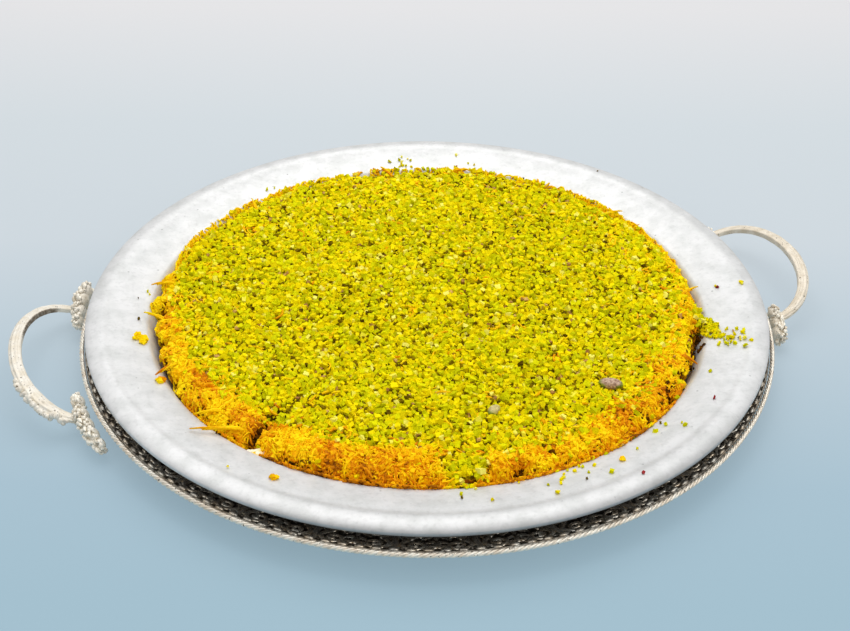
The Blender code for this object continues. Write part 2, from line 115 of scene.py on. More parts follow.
def on_ground(x: Array, y: Array) -> Array:
    """Rows of points at height nought for places in X and Y."""
    return np.stack((x, y, np.zeros_like(x)), axis=-1).reshape(-1, 3)


def ground_noise(flat: Array, span: float, level: float) -> Array:
    """Smooth noise over the ground, read at a level of its own."""
    return np.array([noise.noise(Vector((x / span, y / span, level))) for x, y, _ in flat])


def bearing_of(x: Array, y: Array) -> Array:
    """Bearing of each place in degrees."""
    return np.degrees(np.arctan2(y, x))


def spaced_round(count: int, offset: float = 0.0) -> Array:
    """Evenly spaced bearings of a full turn in radians, moved on by a share of one step."""
    return (np.arange(count) + offset) * FULL_TURN / count


def share_from(x: Array, y: Array, at_x: float, at_y: float, radius: float) -> Array:
    """Distance from a spot as a share of its radius.

    Args:
        x: Places along X in metres.
        y: Places along Y in metres.
        at_x: The spot along X in millimetres.
        at_y: The spot along Y in millimetres.
        radius: The spot's radius in millimetres.

    Returns:
        0 at the spot, 1 at its radius and more beyond.
    """
    return np.hypot(x - at_x * MM, y - at_y * MM) / (radius * MM)


def heap(rng: Draws, spot: Heap, looseness: float) -> Array:
    """Places scattered about a spot.

    Args:
        rng: Source of the random draws.
        spot: The spot's X, Y and spread in millimetres, and the number of places.
        looseness: How far they stray, as a share of the spread.

    Returns:
        X and Y of each place in metres.
    """
    x, y, spread, count = spot
    return (np.array((x, y)) + rng.normal(0, looseness, (count, 2)) * spread) * MM


def unit(vectors: Array) -> Array:
    """Vectors of length one along the last axis."""
    return vectors / np.maximum(np.linalg.norm(vectors, axis=-1, keepdims=True), 1e-12)


def spun(angle: float) -> Array:
    """Matrix that turns points about Z by an angle in radians."""
    return np.array(Matrix.Rotation(angle, 3, "Z"))


def unit_ball(rows: int, sides: int, pole: float) -> Array:
    """A ball of radius one in rows of points.

    Args:
        rows: Number of rows from pole to pole.
        sides: Number of points in a row.
        pole: Angle between each pole and the nearest row, in radians.

    Returns:
        The points, of shape (rows, sides, 3).
    """
    down = np.linspace(pole, math.pi - pole, rows)[:, None]
    around = spaced_round(sides)[None, :]
    return polar(np.sin(down), around, np.cos(down) + 0 * around)


@dataclass
class Shape:
    """Points and faces of one piece that is being made, with named tones for its points."""

    points: list[Array] = field(default_factory=list)
    faces: list[Array] = field(default_factory=list)
    tones: dict[str, list[Array]] = field(default_factory=dict)
    count: int = 0

    def add(self, points: Array, faces: list[Array], **tones: Array) -> None:
        """Adds a block of points and faces.

        Args:
            points: Points of the block, in rows of three.
            faces: Arrays of triangles or quads that index the block's own points.
            **tones: Named values, one for each point of the block.
        """
        flat = points.reshape(-1, 3)
        self.points.append(flat)
        self.faces += [block + self.count for block in faces]
        for name, values in tones.items():
            self.tones.setdefault(name, []).append(np.ravel(values))
        self.count += len(flat)

    def piece(self, name: str, finish: Finish, smooth: bool) -> Piece:
        """Turns everything that was added into one object of the scene.

        Args:
            name: The piece's name.
            finish: The material that dresses it.
            smooth: Whether its faces are shaded as one smooth skin.

        Returns:
            The new object.
        """
        mesh = bpy.data.meshes.new(name)
        points = np.concatenate(self.points)
        corners = np.concatenate([block.ravel() for block in self.faces])
        sizes = np.concatenate([np.full(len(block), block.shape[1]) for block in self.faces])
        starts = np.concatenate(([0], np.cumsum(sizes)[:-1]))
        mesh.vertices.add(len(points))
        mesh.loops.add(len(corners))
        mesh.polygons.add(len(sizes))
        mesh.vertices.foreach_set("co", points.ravel().astype(np.float32))
        mesh.polygons.foreach_set("loop_start", starts.astype(np.int32))
        mesh.polygons.foreach_set("vertices", corners.astype(np.int32))
        mesh.polygons.foreach_set("use_smooth", np.full(len(sizes), smooth))
        mesh.update(calc_edges=True)
        mesh.validate()
        for tone, blocks in self.tones.items():
            values = np.concatenate(blocks).astype(np.float32)
            mesh.attributes.new(tone, "FLOAT", "POINT").data.foreach_set("value", values)
        mesh.materials.append(finish)
        made = bpy.data.objects.new(name, mesh)
        bpy.context.scene.collection.objects.link(made)
        return made


def place(made: Piece, slot: str, *nodes: str) -> Piece:
    """Fastens a finished piece to the model's one body.

    Args:
        made: The piece.
        slot: The record's material slot; it is not used.
        *nodes: Plain solids that it stands for.

    Returns:
        The same piece.
    """
    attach(made, BODY)
    if nodes:
        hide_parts(*nodes)
    LOG.info("%s: %d faces", made.name, len(made.data.polygons))
    return made


def grid_faces(rows: int, columns: int, wrap_rows: bool, wrap_columns: bool) -> Array:
    """Quads over a grid of points that is stored row by row.

    Args:
        rows: Number of rows.
        columns: Number of points in a row.
        wrap_rows: Whether the last row meets the first.
        wrap_columns: Whether the last point of a row meets its first.

    Returns:
        The quads' point numbers.
    """
    down = np.arange(rows if wrap_rows else rows - 1)[:, None]
    across = np.arange(columns if wrap_columns else columns - 1)[None, :]
    below, beside = (down + 1) % rows, (across + 1) % columns
    corners = (
        down * columns + across,
        down * columns + beside,
        below * columns + beside,
        below * columns + across,
    )
    return np.stack(corners, axis=-1).reshape(-1, 4)


def turned(outline: Array, segments: int) -> Mesh:
    """A solid of revolution about Z from a closed outline.

    Args:
        outline: Radius and height of each point, once round the section.
        segments: Number of steps round the axis.

    Returns:
        Its points and its faces.
    """
    points = polar(outline[None, :, 0], spaced_round(segments)[:, None], outline[None, :, 1])
    return points, [grid_faces(segments, len(outline), True, True)]


def tubes(paths: Array, radii: Array, sides: int, flat: float = 1.0, closed: bool = False) -> Mesh:
    """Round or flattened tubes along many paths of equal length.

    Args:
        paths: Points of each path, of shape (paths, steps, 3).
        radii: Radius at each point, of shape (paths, steps).
        sides: Number of sides of each tube.
        flat: Height of the section as a share of its width.
        closed: Whether each path runs back to its start.

    Returns:
        The points and the faces of all the tubes.
    """
    count, steps = radii.shape
    if closed:
        along = unit(np.roll(paths, -1, axis=1) - np.roll(paths, 1, axis=1))
    else:
        along = unit(np.gradient(paths, axis=1))
    side = unit(np.cross(along, (0.0, 0.0, 1.0)) + (1e-9, 0.0, 0.0))
    over = np.cross(side, along)
    angles = spaced_round(sides, 0.5)
    ring = np.cos(angles)[:, None] * side[:, :, None, :]
    ring = ring + flat * np.sin(angles)[:, None] * over[:, :, None, :]
    points = (paths[:, :, None, :] + radii[:, :, None, None] * ring).reshape(-1, 3)
    one = grid_faces(steps, sides, closed, True)
    starts = np.arange(count) * steps * sides
    faces = [(starts[:, None, None] + one).reshape(-1, 4)]
    if not closed:
        middles = np.concatenate((paths[:, 0], paths[:, -1]))
        hubs = len(points) + np.arange(2 * count)
        rims = np.concatenate((starts, starts + (steps - 1) * sides))
        turn = np.arange(sides)
        fan = np.stack(np.broadcast_arrays(
            hubs[:, None],
            rims[:, None] + turn,
            rims[:, None] + (turn + 1) % sides,
        ), axis=-1)
        fan[:count] = fan[:count, :, ::-1]
        faces.append(fan.reshape(-1, 3))
        points = np.concatenate((points, middles))
    return points, faces


def repeat_round(points: Array, faces: list[Array], times: int) -> Mesh:
    """Copies a motif round Z in equal steps.

    Args:
        points: The motif's points.
        faces: The motif's faces.
        times: Number of copies.

    Returns:
        Points and faces of all the copies.
    """
    turns = spaced_round(times)
    spin = np.zeros((times, 3, 3))
    spin[:, 0, 0] = spin[:, 1, 1] = np.cos(turns)
    spin[:, 1, 0] = np.sin(turns)
    spin[:, 0, 1] = -np.sin(turns)
    spin[:, 2, 2] = 1
    copies = np.einsum("nij,kj->nki", spin, points).reshape(-1, 3)
    shifts = np.arange(times) * len(points)
    return copies, [(shifts[:, None, None] + block).reshape(-1, block.shape[1]) for block in faces]


def set_stops(ramp: bpy.types.ColorRamp, stops: Stops) -> None:
    """Gives a colour ramp its stops."""
    while len(ramp.elements) < len(stops):
        ramp.elements.new(1.0)
    for element, (at, colour) in zip(ramp.elements, stops):
        element.position = at
        element.color = (*colour, 1.0)


class Board:
    """One material that is being wired: it places nodes and links them."""

    def __init__(self, name: str, roughness: float, metallic: float = 0.0) -> None:
        """Starts a material.

        Args:
            name: The material's name.
            roughness: Roughness of the shader until a node drives it.
            metallic: Metallic share of the shader.
        """
        self.material = bpy.data.materials.new(name)
        self.material.use_nodes = True
        self.tree = self.material.node_tree
        self.shader = self.tree.nodes["Principled BSDF"]
        self.shader.inputs["Roughness"].default_value = roughness
        self.shader.inputs["Metallic"].default_value = metallic
        self.place = self.tree.nodes.new("ShaderNodeTexCoord").outputs["Object"]

    def wired(
        self, node: bpy.types.Node, inputs: dict[str | int, Socket | float | Colour], output: str | int
    ) -> Socket:
        """Links or sets the inputs of a node.

        Args:
            node: The node.
            inputs: What goes into each input: a socket, a number or a vector.
            output: The output that is wanted.

        Returns:
            That output.
        """
        for name, value in inputs.items():
            if isinstance(value, Socket):
                self.tree.links.new(value, node.inputs[name])
            else:
                node.inputs[name].default_value = value
        return node.outputs[output]

    def drive(self, name: str, source: Socket) -> None:
        """Links a socket to one of the shader's inputs."""
        self.tree.links.new(source, self.shader.inputs[name])

    def tone(self, name: str) -> Socket:
        """A named tone of the mesh."""
        node = self.tree.nodes.new("ShaderNodeAttribute")
        node.attribute_name = name
        return node.outputs["Fac"]

    def stretched(self, share: Place) -> Socket:
        """The place on the piece, stretched by a share along each axis."""
        node = self.tree.nodes.new("ShaderNodeMapping")
        return self.wired(node, {"Scale": share, "Vector": self.place}, "Vector")

    def grain(
        self, span: float, detail: float = 2.0, roughness: float = 0.5, source: Socket | None = None
    ) -> Socket:
        """Noise over the piece.

        Args:
            span: Size of its lumps in metres.
            detail: Number of finer layers in it.
            roughness: Strength of the finer layers.
            source: Place to read it at, the piece's own by default.

        Returns:
            The noise, 0 to 1.
        """
        node = self.tree.nodes.new("ShaderNodeTexNoise")
        at = source or self.place
        inputs = {"Scale": 1 / span, "Detail": detail, "Roughness": roughness, "Vector": at}
        return self.wired(node, inputs, "Fac")

    def cells(self, span: float) -> Socket:
        """Distance to the nearest of many scattered points, a span apart."""
        node = self.tree.nodes.new("ShaderNodeTexVoronoi")
        return self.wired(node, {"Scale": 1 / span, "Vector": self.place}, "Distance")

    def fit(self, value: Socket, low: float, high: float, to: tuple[float, float]) -> Socket:
        """Moves a range of a value to another range.

        Args:
            value: The value.
            low: Start of its range.
            high: End of its range.
            to: Start and end of the new range, which it doesn't leave.

        Returns:
            The moved value.
        """
        node = self.tree.nodes.new("ShaderNodeMapRange")
        inputs = {"Value": value, "From Min": low, "From Max": high, "To Min": to[0], "To Max": to[1]}
        return self.wired(node, inputs, "Result")

    def sums(self, first: Socket, operation: str, second: Socket | float) -> Socket:
        """One sum of two values.

        Args:
            first: The first value.
            operation: Blender's name of the sum, such as ADD or MULTIPLY.
            second: The second value, a socket or a number.

        Returns:
            The result.
        """
        node = self.tree.nodes.new("ShaderNodeMath")
        node.operation = operation
        return self.wired(node, {0: first, 1: second}, "Value")

    def colours(self, value: Socket, stops: Stops) -> Socket:
        """A colour that runs through stops as a value grows.

        Args:
            value: The value.
            stops: The value at each stop and its colour.

        Returns:
            The colour.
        """
        node = self.tree.nodes.new("ShaderNodeValToRGB")
        set_stops(node.color_ramp, stops)
        return self.wired(node, {"Fac": value}, "Color")

    def mix(self, share: Socket, first: Socket, second: Socket | Colour) -> Socket:
        """Mixes two colours.

        Args:
            share: Share of the second colour.
            first: The first colour.
            second: The second colour, a socket or three shares.

        Returns:
            The mixed colour.
        """
        node = self.tree.nodes.new("ShaderNodeMix")
        node.data_type = "RGBA"
        second = (*second, 1.0) if isinstance(second, tuple) else second
        return self.wired(node, {0: share, 6: first, 7: second}, 2)

    def bump(self, height: Socket, depth: float) -> None:
        """Raises the surface by a value.

        Args:
            height: The value, 0 to 1.
            depth: Height of its full range in metres.
        """
        node = self.tree.nodes.new("ShaderNodeBump")
        self.drive("Normal", self.wired(node, {"Distance": depth, "Height": height}, "Normal"))


@dataclass(frozen=True)
class WhiteMetal:
    """Satin white metal of the platter: faintly mottled, with specks and smudges, and painted shade on the
    lip's outer edge and on the underside.
    """

    clean: Colour = linear(222, 222, 221)
    # darker tone of the mottling
    mottle_and_painted_shade: Colour = linear(206, 207, 205)
    speck: Colour = linear(112, 112, 110)
    # colour of the painted shade on the lip's outer edge and on the underside
    edge: Colour = linear(84, 82, 80)

    def make(self) -> Finish:
        """Wires the finish and returns its material."""
        board = Board("white metal", 0.42, 0.3)
        cloud = board.grain(13 * MM, 5.0, 0.62)
        colour = board.colours(cloud, [(0.36, self.mottle_and_painted_shade), (0.60, self.clean)])
        blotch = board.fit(board.grain(2.6 * MM, 2.0), 0.52, 0.72, (0.0, 0.12))
        colour = board.mix(blotch, colour, self.speck)
        dots = board.fit(board.cells(6 * MM), 0.06, 0.13, (1.0, 0.0))
        pick = board.fit(board.grain(9 * MM, 1.0), 0.56, 0.64, (0.0, 0.6))
        colour = board.mix(board.sums(dots, "MULTIPLY", pick), colour, self.speck)
        # painted shade: the edge tone darkens the colour towards the edge colour
        board.drive("Base Color", board.mix(board.tone("edge"), colour, self.edge))
        scratch = board.grain(9 * MM, 3.0, 0.7, board.stretched((1.0, 9.0, 3.0)))
        board.drive("Roughness", board.fit(scratch, 0.3, 0.7, (0.36, 0.52)))
        board.bump(board.sums(scratch, "ADD", board.grain(1.4 * MM, 2.0)), 0.04 * MM)
        return board.material


@dataclass(frozen=True)
class WarmSilver:
    """Warm plated silver of the tray: bright where it is rubbed, and darkened by one tone that holds both
    the tarnish in its hollows and painted shade.
    """

    name: str
    bright: Colour = linear(246, 240, 226)
    warm: Colour = linear(232, 220, 200)
    tarnish: Colour = linear(52, 40, 26)
    roughness: float = 0.26
    metallic: float = 1.0
    tarnish_share: float = 0.92
    spotted: float = 0.3
    rubbed: Colour = linear(255, 248, 232)

    def make(self) -> Finish:
        """Wires the finish and returns its material."""
        board = Board(self.name, self.roughness, self.metallic)
        cloud = board.grain(6 * MM, 4.0, 0.6)
        colour = board.colours(cloud, [(0.36, self.warm), (0.6, self.bright)])
        proud = board.fit(board.tone("recess"), 0.0, -0.3, (0.0, 1.0))
        colour = board.mix(proud, colour, self.rubbed)
        patch = board.fit(board.grain(2.2 * MM, 3.0, 0.6), 0.35, 0.75, (-0.25, 0.25))
        spots = board.fit(board.grain(1.5 * MM, 1.0), 0.66, 0.72, (0.0, self.spotted))
        patch = board.sums(patch, "ADD", spots)
        # the tone adds tarnish in hollows and, where pieces set it for shade, painted shade
        deep = board.sums(board.tone("recess"), "ADD", patch)
        dark = board.fit(deep, 0.25, 0.95, (0.0, self.tarnish_share))
        board.drive("Base Color", board.mix(dark, colour, self.tarnish))
        board.drive("Roughness", board.fit(dark, 0.0, 1.0, (self.roughness, self.roughness + 0.3)))
        board.bump(board.grain(0.9 * MM, 2.0), 0.10 * MM)
        return board.material


@dataclass(frozen=True)
class GroundNut:
    """Ground nut or crumb of one kind: each grain has its own tone between two colours.

    A kind also has its share of all the grains, and its size as a share of the usual one.
    """

    name: str
    deep: Colour
    light: Colour
    share: float = 1.0
    size: float = 1.0

    def make(self) -> Finish:
        """Wires the finish and returns its material."""
        board = Board(self.name, 0.8)
        mottle = board.fit(board.grain(0.9 * MM, 2.0), 0.3, 0.7, (-0.3, 0.3))
        tone = board.sums(board.tone("tone"), "ADD", mottle)
        board.drive("Base Color", board.colours(tone, [(0.0, self.deep), (1.0, self.light)]))
        board.shader.inputs["Specular IOR Level"].default_value = 0.06
        board.bump(board.grain(0.45 * MM, 3.0, 0.6), 0.18 * MM)
        return board.material


@dataclass(frozen=True)
class ShreddedPastry:
    """Threads of baked pastry: golden, and deeper orange where they are browned."""

    name: str
    pale: Colour = linear(255, 224, 10)
    golden: Colour = linear(250, 198, 0)
    orange: Colour = linear(226, 138, 0)
    brown: Colour = linear(96, 42, 0)

    def make(self) -> Finish:
        """Wires the finish and returns its material."""
        board = Board(self.name, 0.7)
        mottle = board.fit(board.grain(2.2 * MM, 3.0, 0.6), 0.3, 0.7, (-0.14, 0.14))
        tone = board.sums(board.tone("toast"), "ADD", mottle)
        stops = [(0.0, self.pale), (0.3, self.golden), (0.62, self.orange), (1.0, self.brown)]
        board.drive("Base Color", board.colours(tone, stops))
        board.shader.inputs["Specular IOR Level"].default_value = 0.08
        board.bump(board.grain(0.5 * MM, 2.0), 0.12 * MM)
        return board.material


@dataclass(frozen=True)
class UnderCrumb:
    """The body under the strewn nuts: olive crumb with painted shade in the gaps between the grains,
    near-black painted shade in the pits, and browned dough at its edge.
    """

    olive: Colour = linear(184, 160, 0)
    # painted shade: colour of the gaps between the grains
    shade: Colour = linear(100, 78, 0)
    golden: Colour = linear(232, 160, 0)
    brown: Colour = linear(96, 42, 0)
    # painted shade: near-black colour of the pits
    pit: Colour = linear(52, 24, 0)

    def make(self) -> Finish:
        """Wires the finish and returns its material."""
        board = Board("crumb under the nuts", 0.85)
        fleck = board.grain(2.4 * MM, 3.0, 0.6)
        under = board.colours(fleck, [(0.40, self.shade), (0.60, self.olive)])
        dough = board.colours(fleck, [(0.42, self.brown), (0.62, self.golden)])
        # painted shade: the ground under the nuts runs from olive to shade, and the pits turn near-black
        crumb = board.mix(board.tone("cover"), dough, under)
        board.drive("Base Color", board.mix(board.tone("pit"), crumb, self.pit))
        board.shader.inputs["Specular IOR Level"].default_value = 0.06
        board.bump(board.grain(1.6 * MM, 3.0, 0.7), 0.7 * MM)
        return board.material


@dataclass(frozen=True)
class KernelSkin:
    """A whole pistachio: pink and brown skin over green flesh, whose dark green also stands for painted
    shade on the kernel's lower side.
    """

    name: str = "pistachio skin"
    pink: Colour = linear(206, 176, 148)
    purple: Colour = linear(126, 84, 64)
    green: Colour = linear(60, 80, 0)
    pale: Colour = linear(150, 168, 40)

    def make(self) -> Finish:
        """Wires the finish and returns its material."""
        board = Board(self.name, 0.45)
        vein = board.grain(1.7 * MM, 4.0, 0.65)
        skin = board.colours(vein, [(0.36, self.purple), (0.6, self.pink)])
        flesh = board.colours(vein, [(0.34, self.green), (0.66, self.pale)])
        board.drive("Base Color", board.mix(board.tone("flesh"), skin, flesh))
        board.bump(board.grain(0.8 * MM, 3.0), 0.22 * MM)
        return board.material


@dataclass(frozen=True)
class CreamDab:
    """A pale soft flake of filling that shows at the edge."""

    cream: Colour = linear(255, 244, 214)
    butter: Colour = linear(252, 214, 110)

    def make(self) -> Finish:
        """Wires the finish and returns its material."""
        board = Board("cream", 0.5)
        cloud = board.grain(2.0 * MM, 3.0)
        board.drive("Base Color", board.colours(cloud, [(0.4, self.cream), (0.66, self.butter)]))
        board.bump(board.grain(0.9 * MM, 3.0), 0.3 * MM)
        return board.material


@dataclass(frozen=True)
class PaleFloor:
    """Plain pale floor that is lighter towards the back and glows with painted light, which fills the
    shadows cast on it.
    """

    stops: Stops = (
        (0.0, linear(94, 112, 121)),
        (0.11, linear(97, 113, 122)),
        (0.44, linear(120, 126, 130)),
        (0.68, linear(123, 128, 131)),
        (1.0, linear(133, 133, 134)),
    )
    near_edge: float = -0.22
    far_edge: float = 0.52
    heading: float = 0.238
    glow: float = 2.0

    def make(self) -> Finish:
        """Wires the finish and returns its material."""
        board = Board("pale floor", 0.85)
        split = board.tree.nodes.new("ShaderNodeSeparateXYZ")
        across = board.wired(split, {"Vector": board.place}, "X")
        sideways = board.sums(across, "MULTIPLY", math.sin(self.heading))
        away = board.sums(split.outputs["Y"], "MULTIPLY", math.cos(self.heading))
        share = board.fit(board.sums(sideways, "ADD", away), self.near_edge, self.far_edge, (0.0, 1.0))
        colour = board.colours(share, self.stops)
        board.drive("Base Color", colour)
        # painted light: the floor glows with its own colour
        board.drive("Emission Color", colour)
        board.shader.inputs["Emission Strength"].default_value = self.glow
        board.bump(board.grain(0.6 * MM, 2.0), 0.01 * MM)
        return board.material


@dataclass(frozen=True)
class CakeForm:
    """The form of the kunafa: its outline, the height of its top and what covers it.

    Spots and radii in the tables are in millimetres, and bearings in degrees from the right handle.
    """

    radius: float = 158.8 * MM
    top: float = 24.6 * MM
    crown: float = 1.2 * MM
    edge_band: float = 8.0 * MM
    edge_drop: float = 3.4 * MM
    wobble: float = 1.4 * MM
    base: float = 3.3 * MM
    foot: float = 148.6 * MM
    wall_foot: tuple[float, float] = (154.6 * MM, 6.4 * MM)
    wall_head: tuple[float, float] = (161.4 * MM, 20.2 * MM)
    # X, Y, radius and depth of each wide hollow
    hollows: Rows = (
        (-104.0, -93.0, 7.5, 2.2), (-112.0, -99.0, 7.5, 3.4), (-119.5, -105.0, 8.0, 4.4),
        (70.0, -45.5, 6.5, 1.8), (77.0, -47.0, 6.5, 2.2), (84.0, -49.0, 6.5, 1.6),
    )
    # bearings in degrees, and how far out the nuts lie thick there
    cover_bearings: tuple[float, ...] = (
        -180, -163, -142, -132, -124, -116, -107, -102, -99, -93, -91, -72,
        -58, -48, -37, -17, 0, 30, 60, 100, 150, 168, 180,
    )
    cover_radii: tuple[float, ...] = (
        148, 145, 141, 140, 142, 139, 137, 140, 164, 164, 147, 146,
        147, 147, 147, 152, 158, 161, 163, 165, 160, 152, 148,
    )
    # width of the band in which their cover thins out
    blend_bearings: tuple[float, ...] = (-180, -100, -70, -30, 0, 40, 150, 180)
    blend_widths: tuple[float, ...] = (8, 7, 14, 22, 14, 7, 8, 8)
    # how far out the pastry reaches over the platter
    rim_bearings: tuple[float, ...] = (-180, -165, -145, -125, -60, -45, -30, -12, 10, 40, 140, 165, 180)
    rim_radii: tuple[float, ...] = (160, 160.5, 163.4, 165, 165, 163, 159.5, 160, 163, 165, 165, 161, 160)
    # bearing, depth and width in degrees of each place where the edge is broken
    notches: Rows = (
        (172.0, 5.0, 3.0), (-178.0, 3.2, 3.0), (-168.0, 2.0, 4.0), (-138.0, 3.0, 2.6), (-30.0, 3.4, 7.0),
        (-40.0, 2.0, 5.0), (-91.5, 1.6, 1.5), (163.5, 2.4, 2.0), (153.0, 2.4, 2.0),
    )
    # X, Y and radius of each tuft of nuts at the edge
    tufts: Rows = (
        (153.0, -55.0, 9.0), (156.0, -44.0, 6.0), (-155.0, 34.0, 3.0),
    )
    # X, Y, radius and added browning of each patch, paler where that is negative
    browned: Rows = (
        (-137.0, -48.0, 8.0, 0.42), (-147.0, -64.0, 8.0, 0.40), (-111.0, -95.0, 9.0, 0.45),
        (-90.0, -101.0, 6.0, 0.34), (-84.0, -131.0, 10.0, 0.34), (-58.0, -143.0, 18.0, 0.24),
        (-7.0, -153.0, 3.5, 0.6), (9.5, -155.0, 5.0, 0.5), (29.4, -146.0, 3.5, 0.7),
        (75.0, -128.0, 8.0, 0.40), (131.0, -91.0, 5.0, 0.5), (106.0, -116.0, 5.0, 0.5),
        (-156.0, 21.0, 3.0, 0.35), (-156.0, -8.0, 3.0, 0.35), (-157.0, 31.0, 7.0, -0.2),
        (-83.0, 15.0, 6.0, 0.3),
    )
    # X, Y, radius and depth of each dark pit
    pits: Rows = (
        (-155.6, 23.0, 4.4, 8.0), (-156.5, -6.6, 4.2, 8.0), (-157.5, -26.0, 2.6, 4.0),
        (-154.5, -45.0, 3.0, 4.0), (-134.0, -94.0, 3.6, 6.0), (-128.0, -89.0, 2.6, 3.6),
        (-7.0, -155.0, 3.0, 5.0), (11.0, -157.0, 4.0, 6.0), (29.4, -147.0, 3.2, 3.6),
        (134.0, -92.0, 4.0, 7.0), (108.0, -118.0, 3.0, 5.0), (122.0, -101.0, 3.0, 5.0),
        (90.0, -134.0, 2.6, 4.0), (142.0, -68.5, 5.0, 10.0), (137.5, -78.0, 3.4, 8.0),
        (-101.0, -85.0, 3.0, 4.4), (-105.5, -90.0, 3.4, 5.4), (-110.0, -95.0, 3.6, 6.0),
        (-114.5, -99.5, 4.0, 7.0), (-119.0, -104.0, 4.4, 8.0), (68.0, -45.0, 1.9, 3.4),
        (73.5, -46.3, 2.1, 3.8), (79.0, -47.6, 2.1, 3.8), (85.0, -49.0, 1.9, 3.4),
    )
    # bearing, reach beyond the edge, width and height of each clump
    clumps: Rows = (
        (169.0, 4.5, 11.0, 5.0), (159.5, 3.5, 13.0, 5.5), (148.0, 2.5, 9.0, 4.5), (-20.6, 6.0, 12.0, 5.5),
        (-16.0, 3.5, 9.0, 4.5), (-94.0, 4.0, 15.0, 5.0), (-89.6, 1.5, 10.0, 4.8), (-126.0, 3.0, 14.0, 5.0),
        (-154.0, 3.0, 12.0, 4.8), (72.0, 3.0, 12.0, 4.8), (42.0, 3.0, 10.0, 4.6), (110.0, 3.0, 12.0, 4.8),
    )
    clump_length: float = 9.0 * MM
    clump_top: float = 24.6 * MM
    clump_foot: float = 21.5 * MM
    # radius and height of the platter's upper side
    platter_reaches: tuple[float, ...] = (
        156.0, 158.4, 160.8, 162.6, 163.6, 164.6, 166.0, 172.0, 178.0, 187.5, 194.0, 200.0,
    )
    platter_heights: tuple[float, ...] = (
        6.6, 11.3, 16.1, 19.7, 21.4, 22.6, 23.3, 24.9, 26.5, 29.0, 28.7, 26.2,
    )
    crumbled_from: float = 138 * MM
    crumbled_band: float = 12 * MM
    crumbled_depth: float = 1.8 * MM
    # middle and roughness of the rim in millimetres
    rim_middle: float = 160.0
    rough_rim: float = 1.1
    bare_from: float = 166 * MM

    def outline(self, bearing: Array) -> Array:
        """How far the outline strays from a circle at each bearing in radians."""
        around = polar(np.ones_like(bearing), bearing, 0 * bearing)
        stray = noise_at(around, 1 / 4, 0) + noise_at(around, 1 / 17, 0)
        return self.wobble * stray - self.notch(bearing)

    def notch(self, bearing: Array) -> Array:
        """How far the edge is broken away at each bearing in radians."""
        depth = np.zeros_like(bearing)
        for at, deep, width in self.notches:
            turn = np.degrees(bearing) - at
            away = (np.mod(turn + 180, 360) - 180) / width
            depth = np.maximum(depth, deep * MM * np.exp(-(away**2)))
        return depth

    def near_pit(self, x: Array, y: Array) -> Array:
        """Distance to the nearest pit as a share of its radius, at each place."""
        nearest = np.full_like(x, 9.0)
        for at_x, at_y, radius, _ in self.pits:
            nearest = np.minimum(nearest, share_from(x, y, at_x, at_y, radius))
        return nearest

    def rim(self, x: Array, y: Array) -> Array:
        """How far out the pastry and the nuts reach at each place's bearing."""
        bearing = bearing_of(x, y)
        around = polar(np.full(x.size, self.rim_middle * MM), np.radians(bearing).ravel(), 0)
        stray = (noise_at(around, 6 * MM, 2.9) + 0.7 * noise_at(around, 2.5 * MM, 5.1)).reshape(x.shape)
        reach = np.interp(bearing, self.rim_bearings, self.rim_radii)
        reach = reach - self.notch(np.radians(bearing)) / MM
        for at, out, width, _ in self.clumps:
            away = (bearing - at) * math.radians(self.rim_middle) / (0.5 * width)
            bulge = self.rim_middle + out * (1 - away**2)
            reach = np.where(np.abs(away) < 1, np.maximum(reach, bulge), reach)
        return (reach + self.rough_rim * stray) * MM

    def seat(self, reach: Array) -> Array:
        """Height of the platter's upper side at a distance from the middle."""
        return np.interp(reach, np.array(self.platter_reaches) * MM, np.array(self.platter_heights) * MM)

    def height(self, x: Array, y: Array) -> Array:
        """Height of the top at each place.

        Args:
            x: Places along X.
            y: Places along Y.

        Returns:
            The heights.
        """
        flat = on_ground(x, y)
        swell = 1.0 * MM * ground_noise(flat, 46 * MM, 3.1) + 0.9 * MM * ground_noise(flat, 13 * MM, 8.4)
        reach = np.hypot(x, y)
        crumble = noise_at(flat, 6.5 * MM, 3.6).reshape(x.shape)
        crumble = crumble * smooth_step((reach - self.crumbled_from) / self.crumbled_band)
        edge = np.clip((reach - self.radius + self.edge_band) / self.edge_band, 0, 1.6)
        depth = np.zeros_like(x)
        for at_x, at_y, radius, deepest in self.hollows + self.pits:
            away = share_from(x, y, at_x, at_y, radius)
            depth = np.maximum(depth, deepest * MM * np.exp(-(away**2)))
        crown = self.crown * (1 - (reach / self.radius) ** 2)
        top = self.top + crown + swell.reshape(x.shape) + self.crumbled_depth * crumble
        top = top - self.edge_drop * edge**2.2
        return self.with_clumps(x, y, top) - depth

    def with_clumps(self, x: Array, y: Array, top: Array) -> Array:
        """Raises the top where the clumps of the edge lie.

        Args:
            x: Places along X.
            y: Places along Y.
            top: Height of the top without them.

        Returns:
            The height with them.
        """
        for at, out, width, tall in self.clumps:
            turn = math.radians(at)
            middle = self.radius + out * MM - self.clump_length
            along = x * math.cos(turn) + y * math.sin(turn) - middle
            across = y * math.cos(turn) - x * math.sin(turn)
            away = (along / self.clump_length) ** 2 + (across / (0.5 * width * MM)) ** 2
            rise = self.clump_top + 0.5 * tall * MM - self.clump_foot
            dome = self.clump_foot + rise * np.sqrt(np.clip(1 - away, 0, 1))
            top = np.where(away < 1, np.maximum(top, dome), top)
        return top

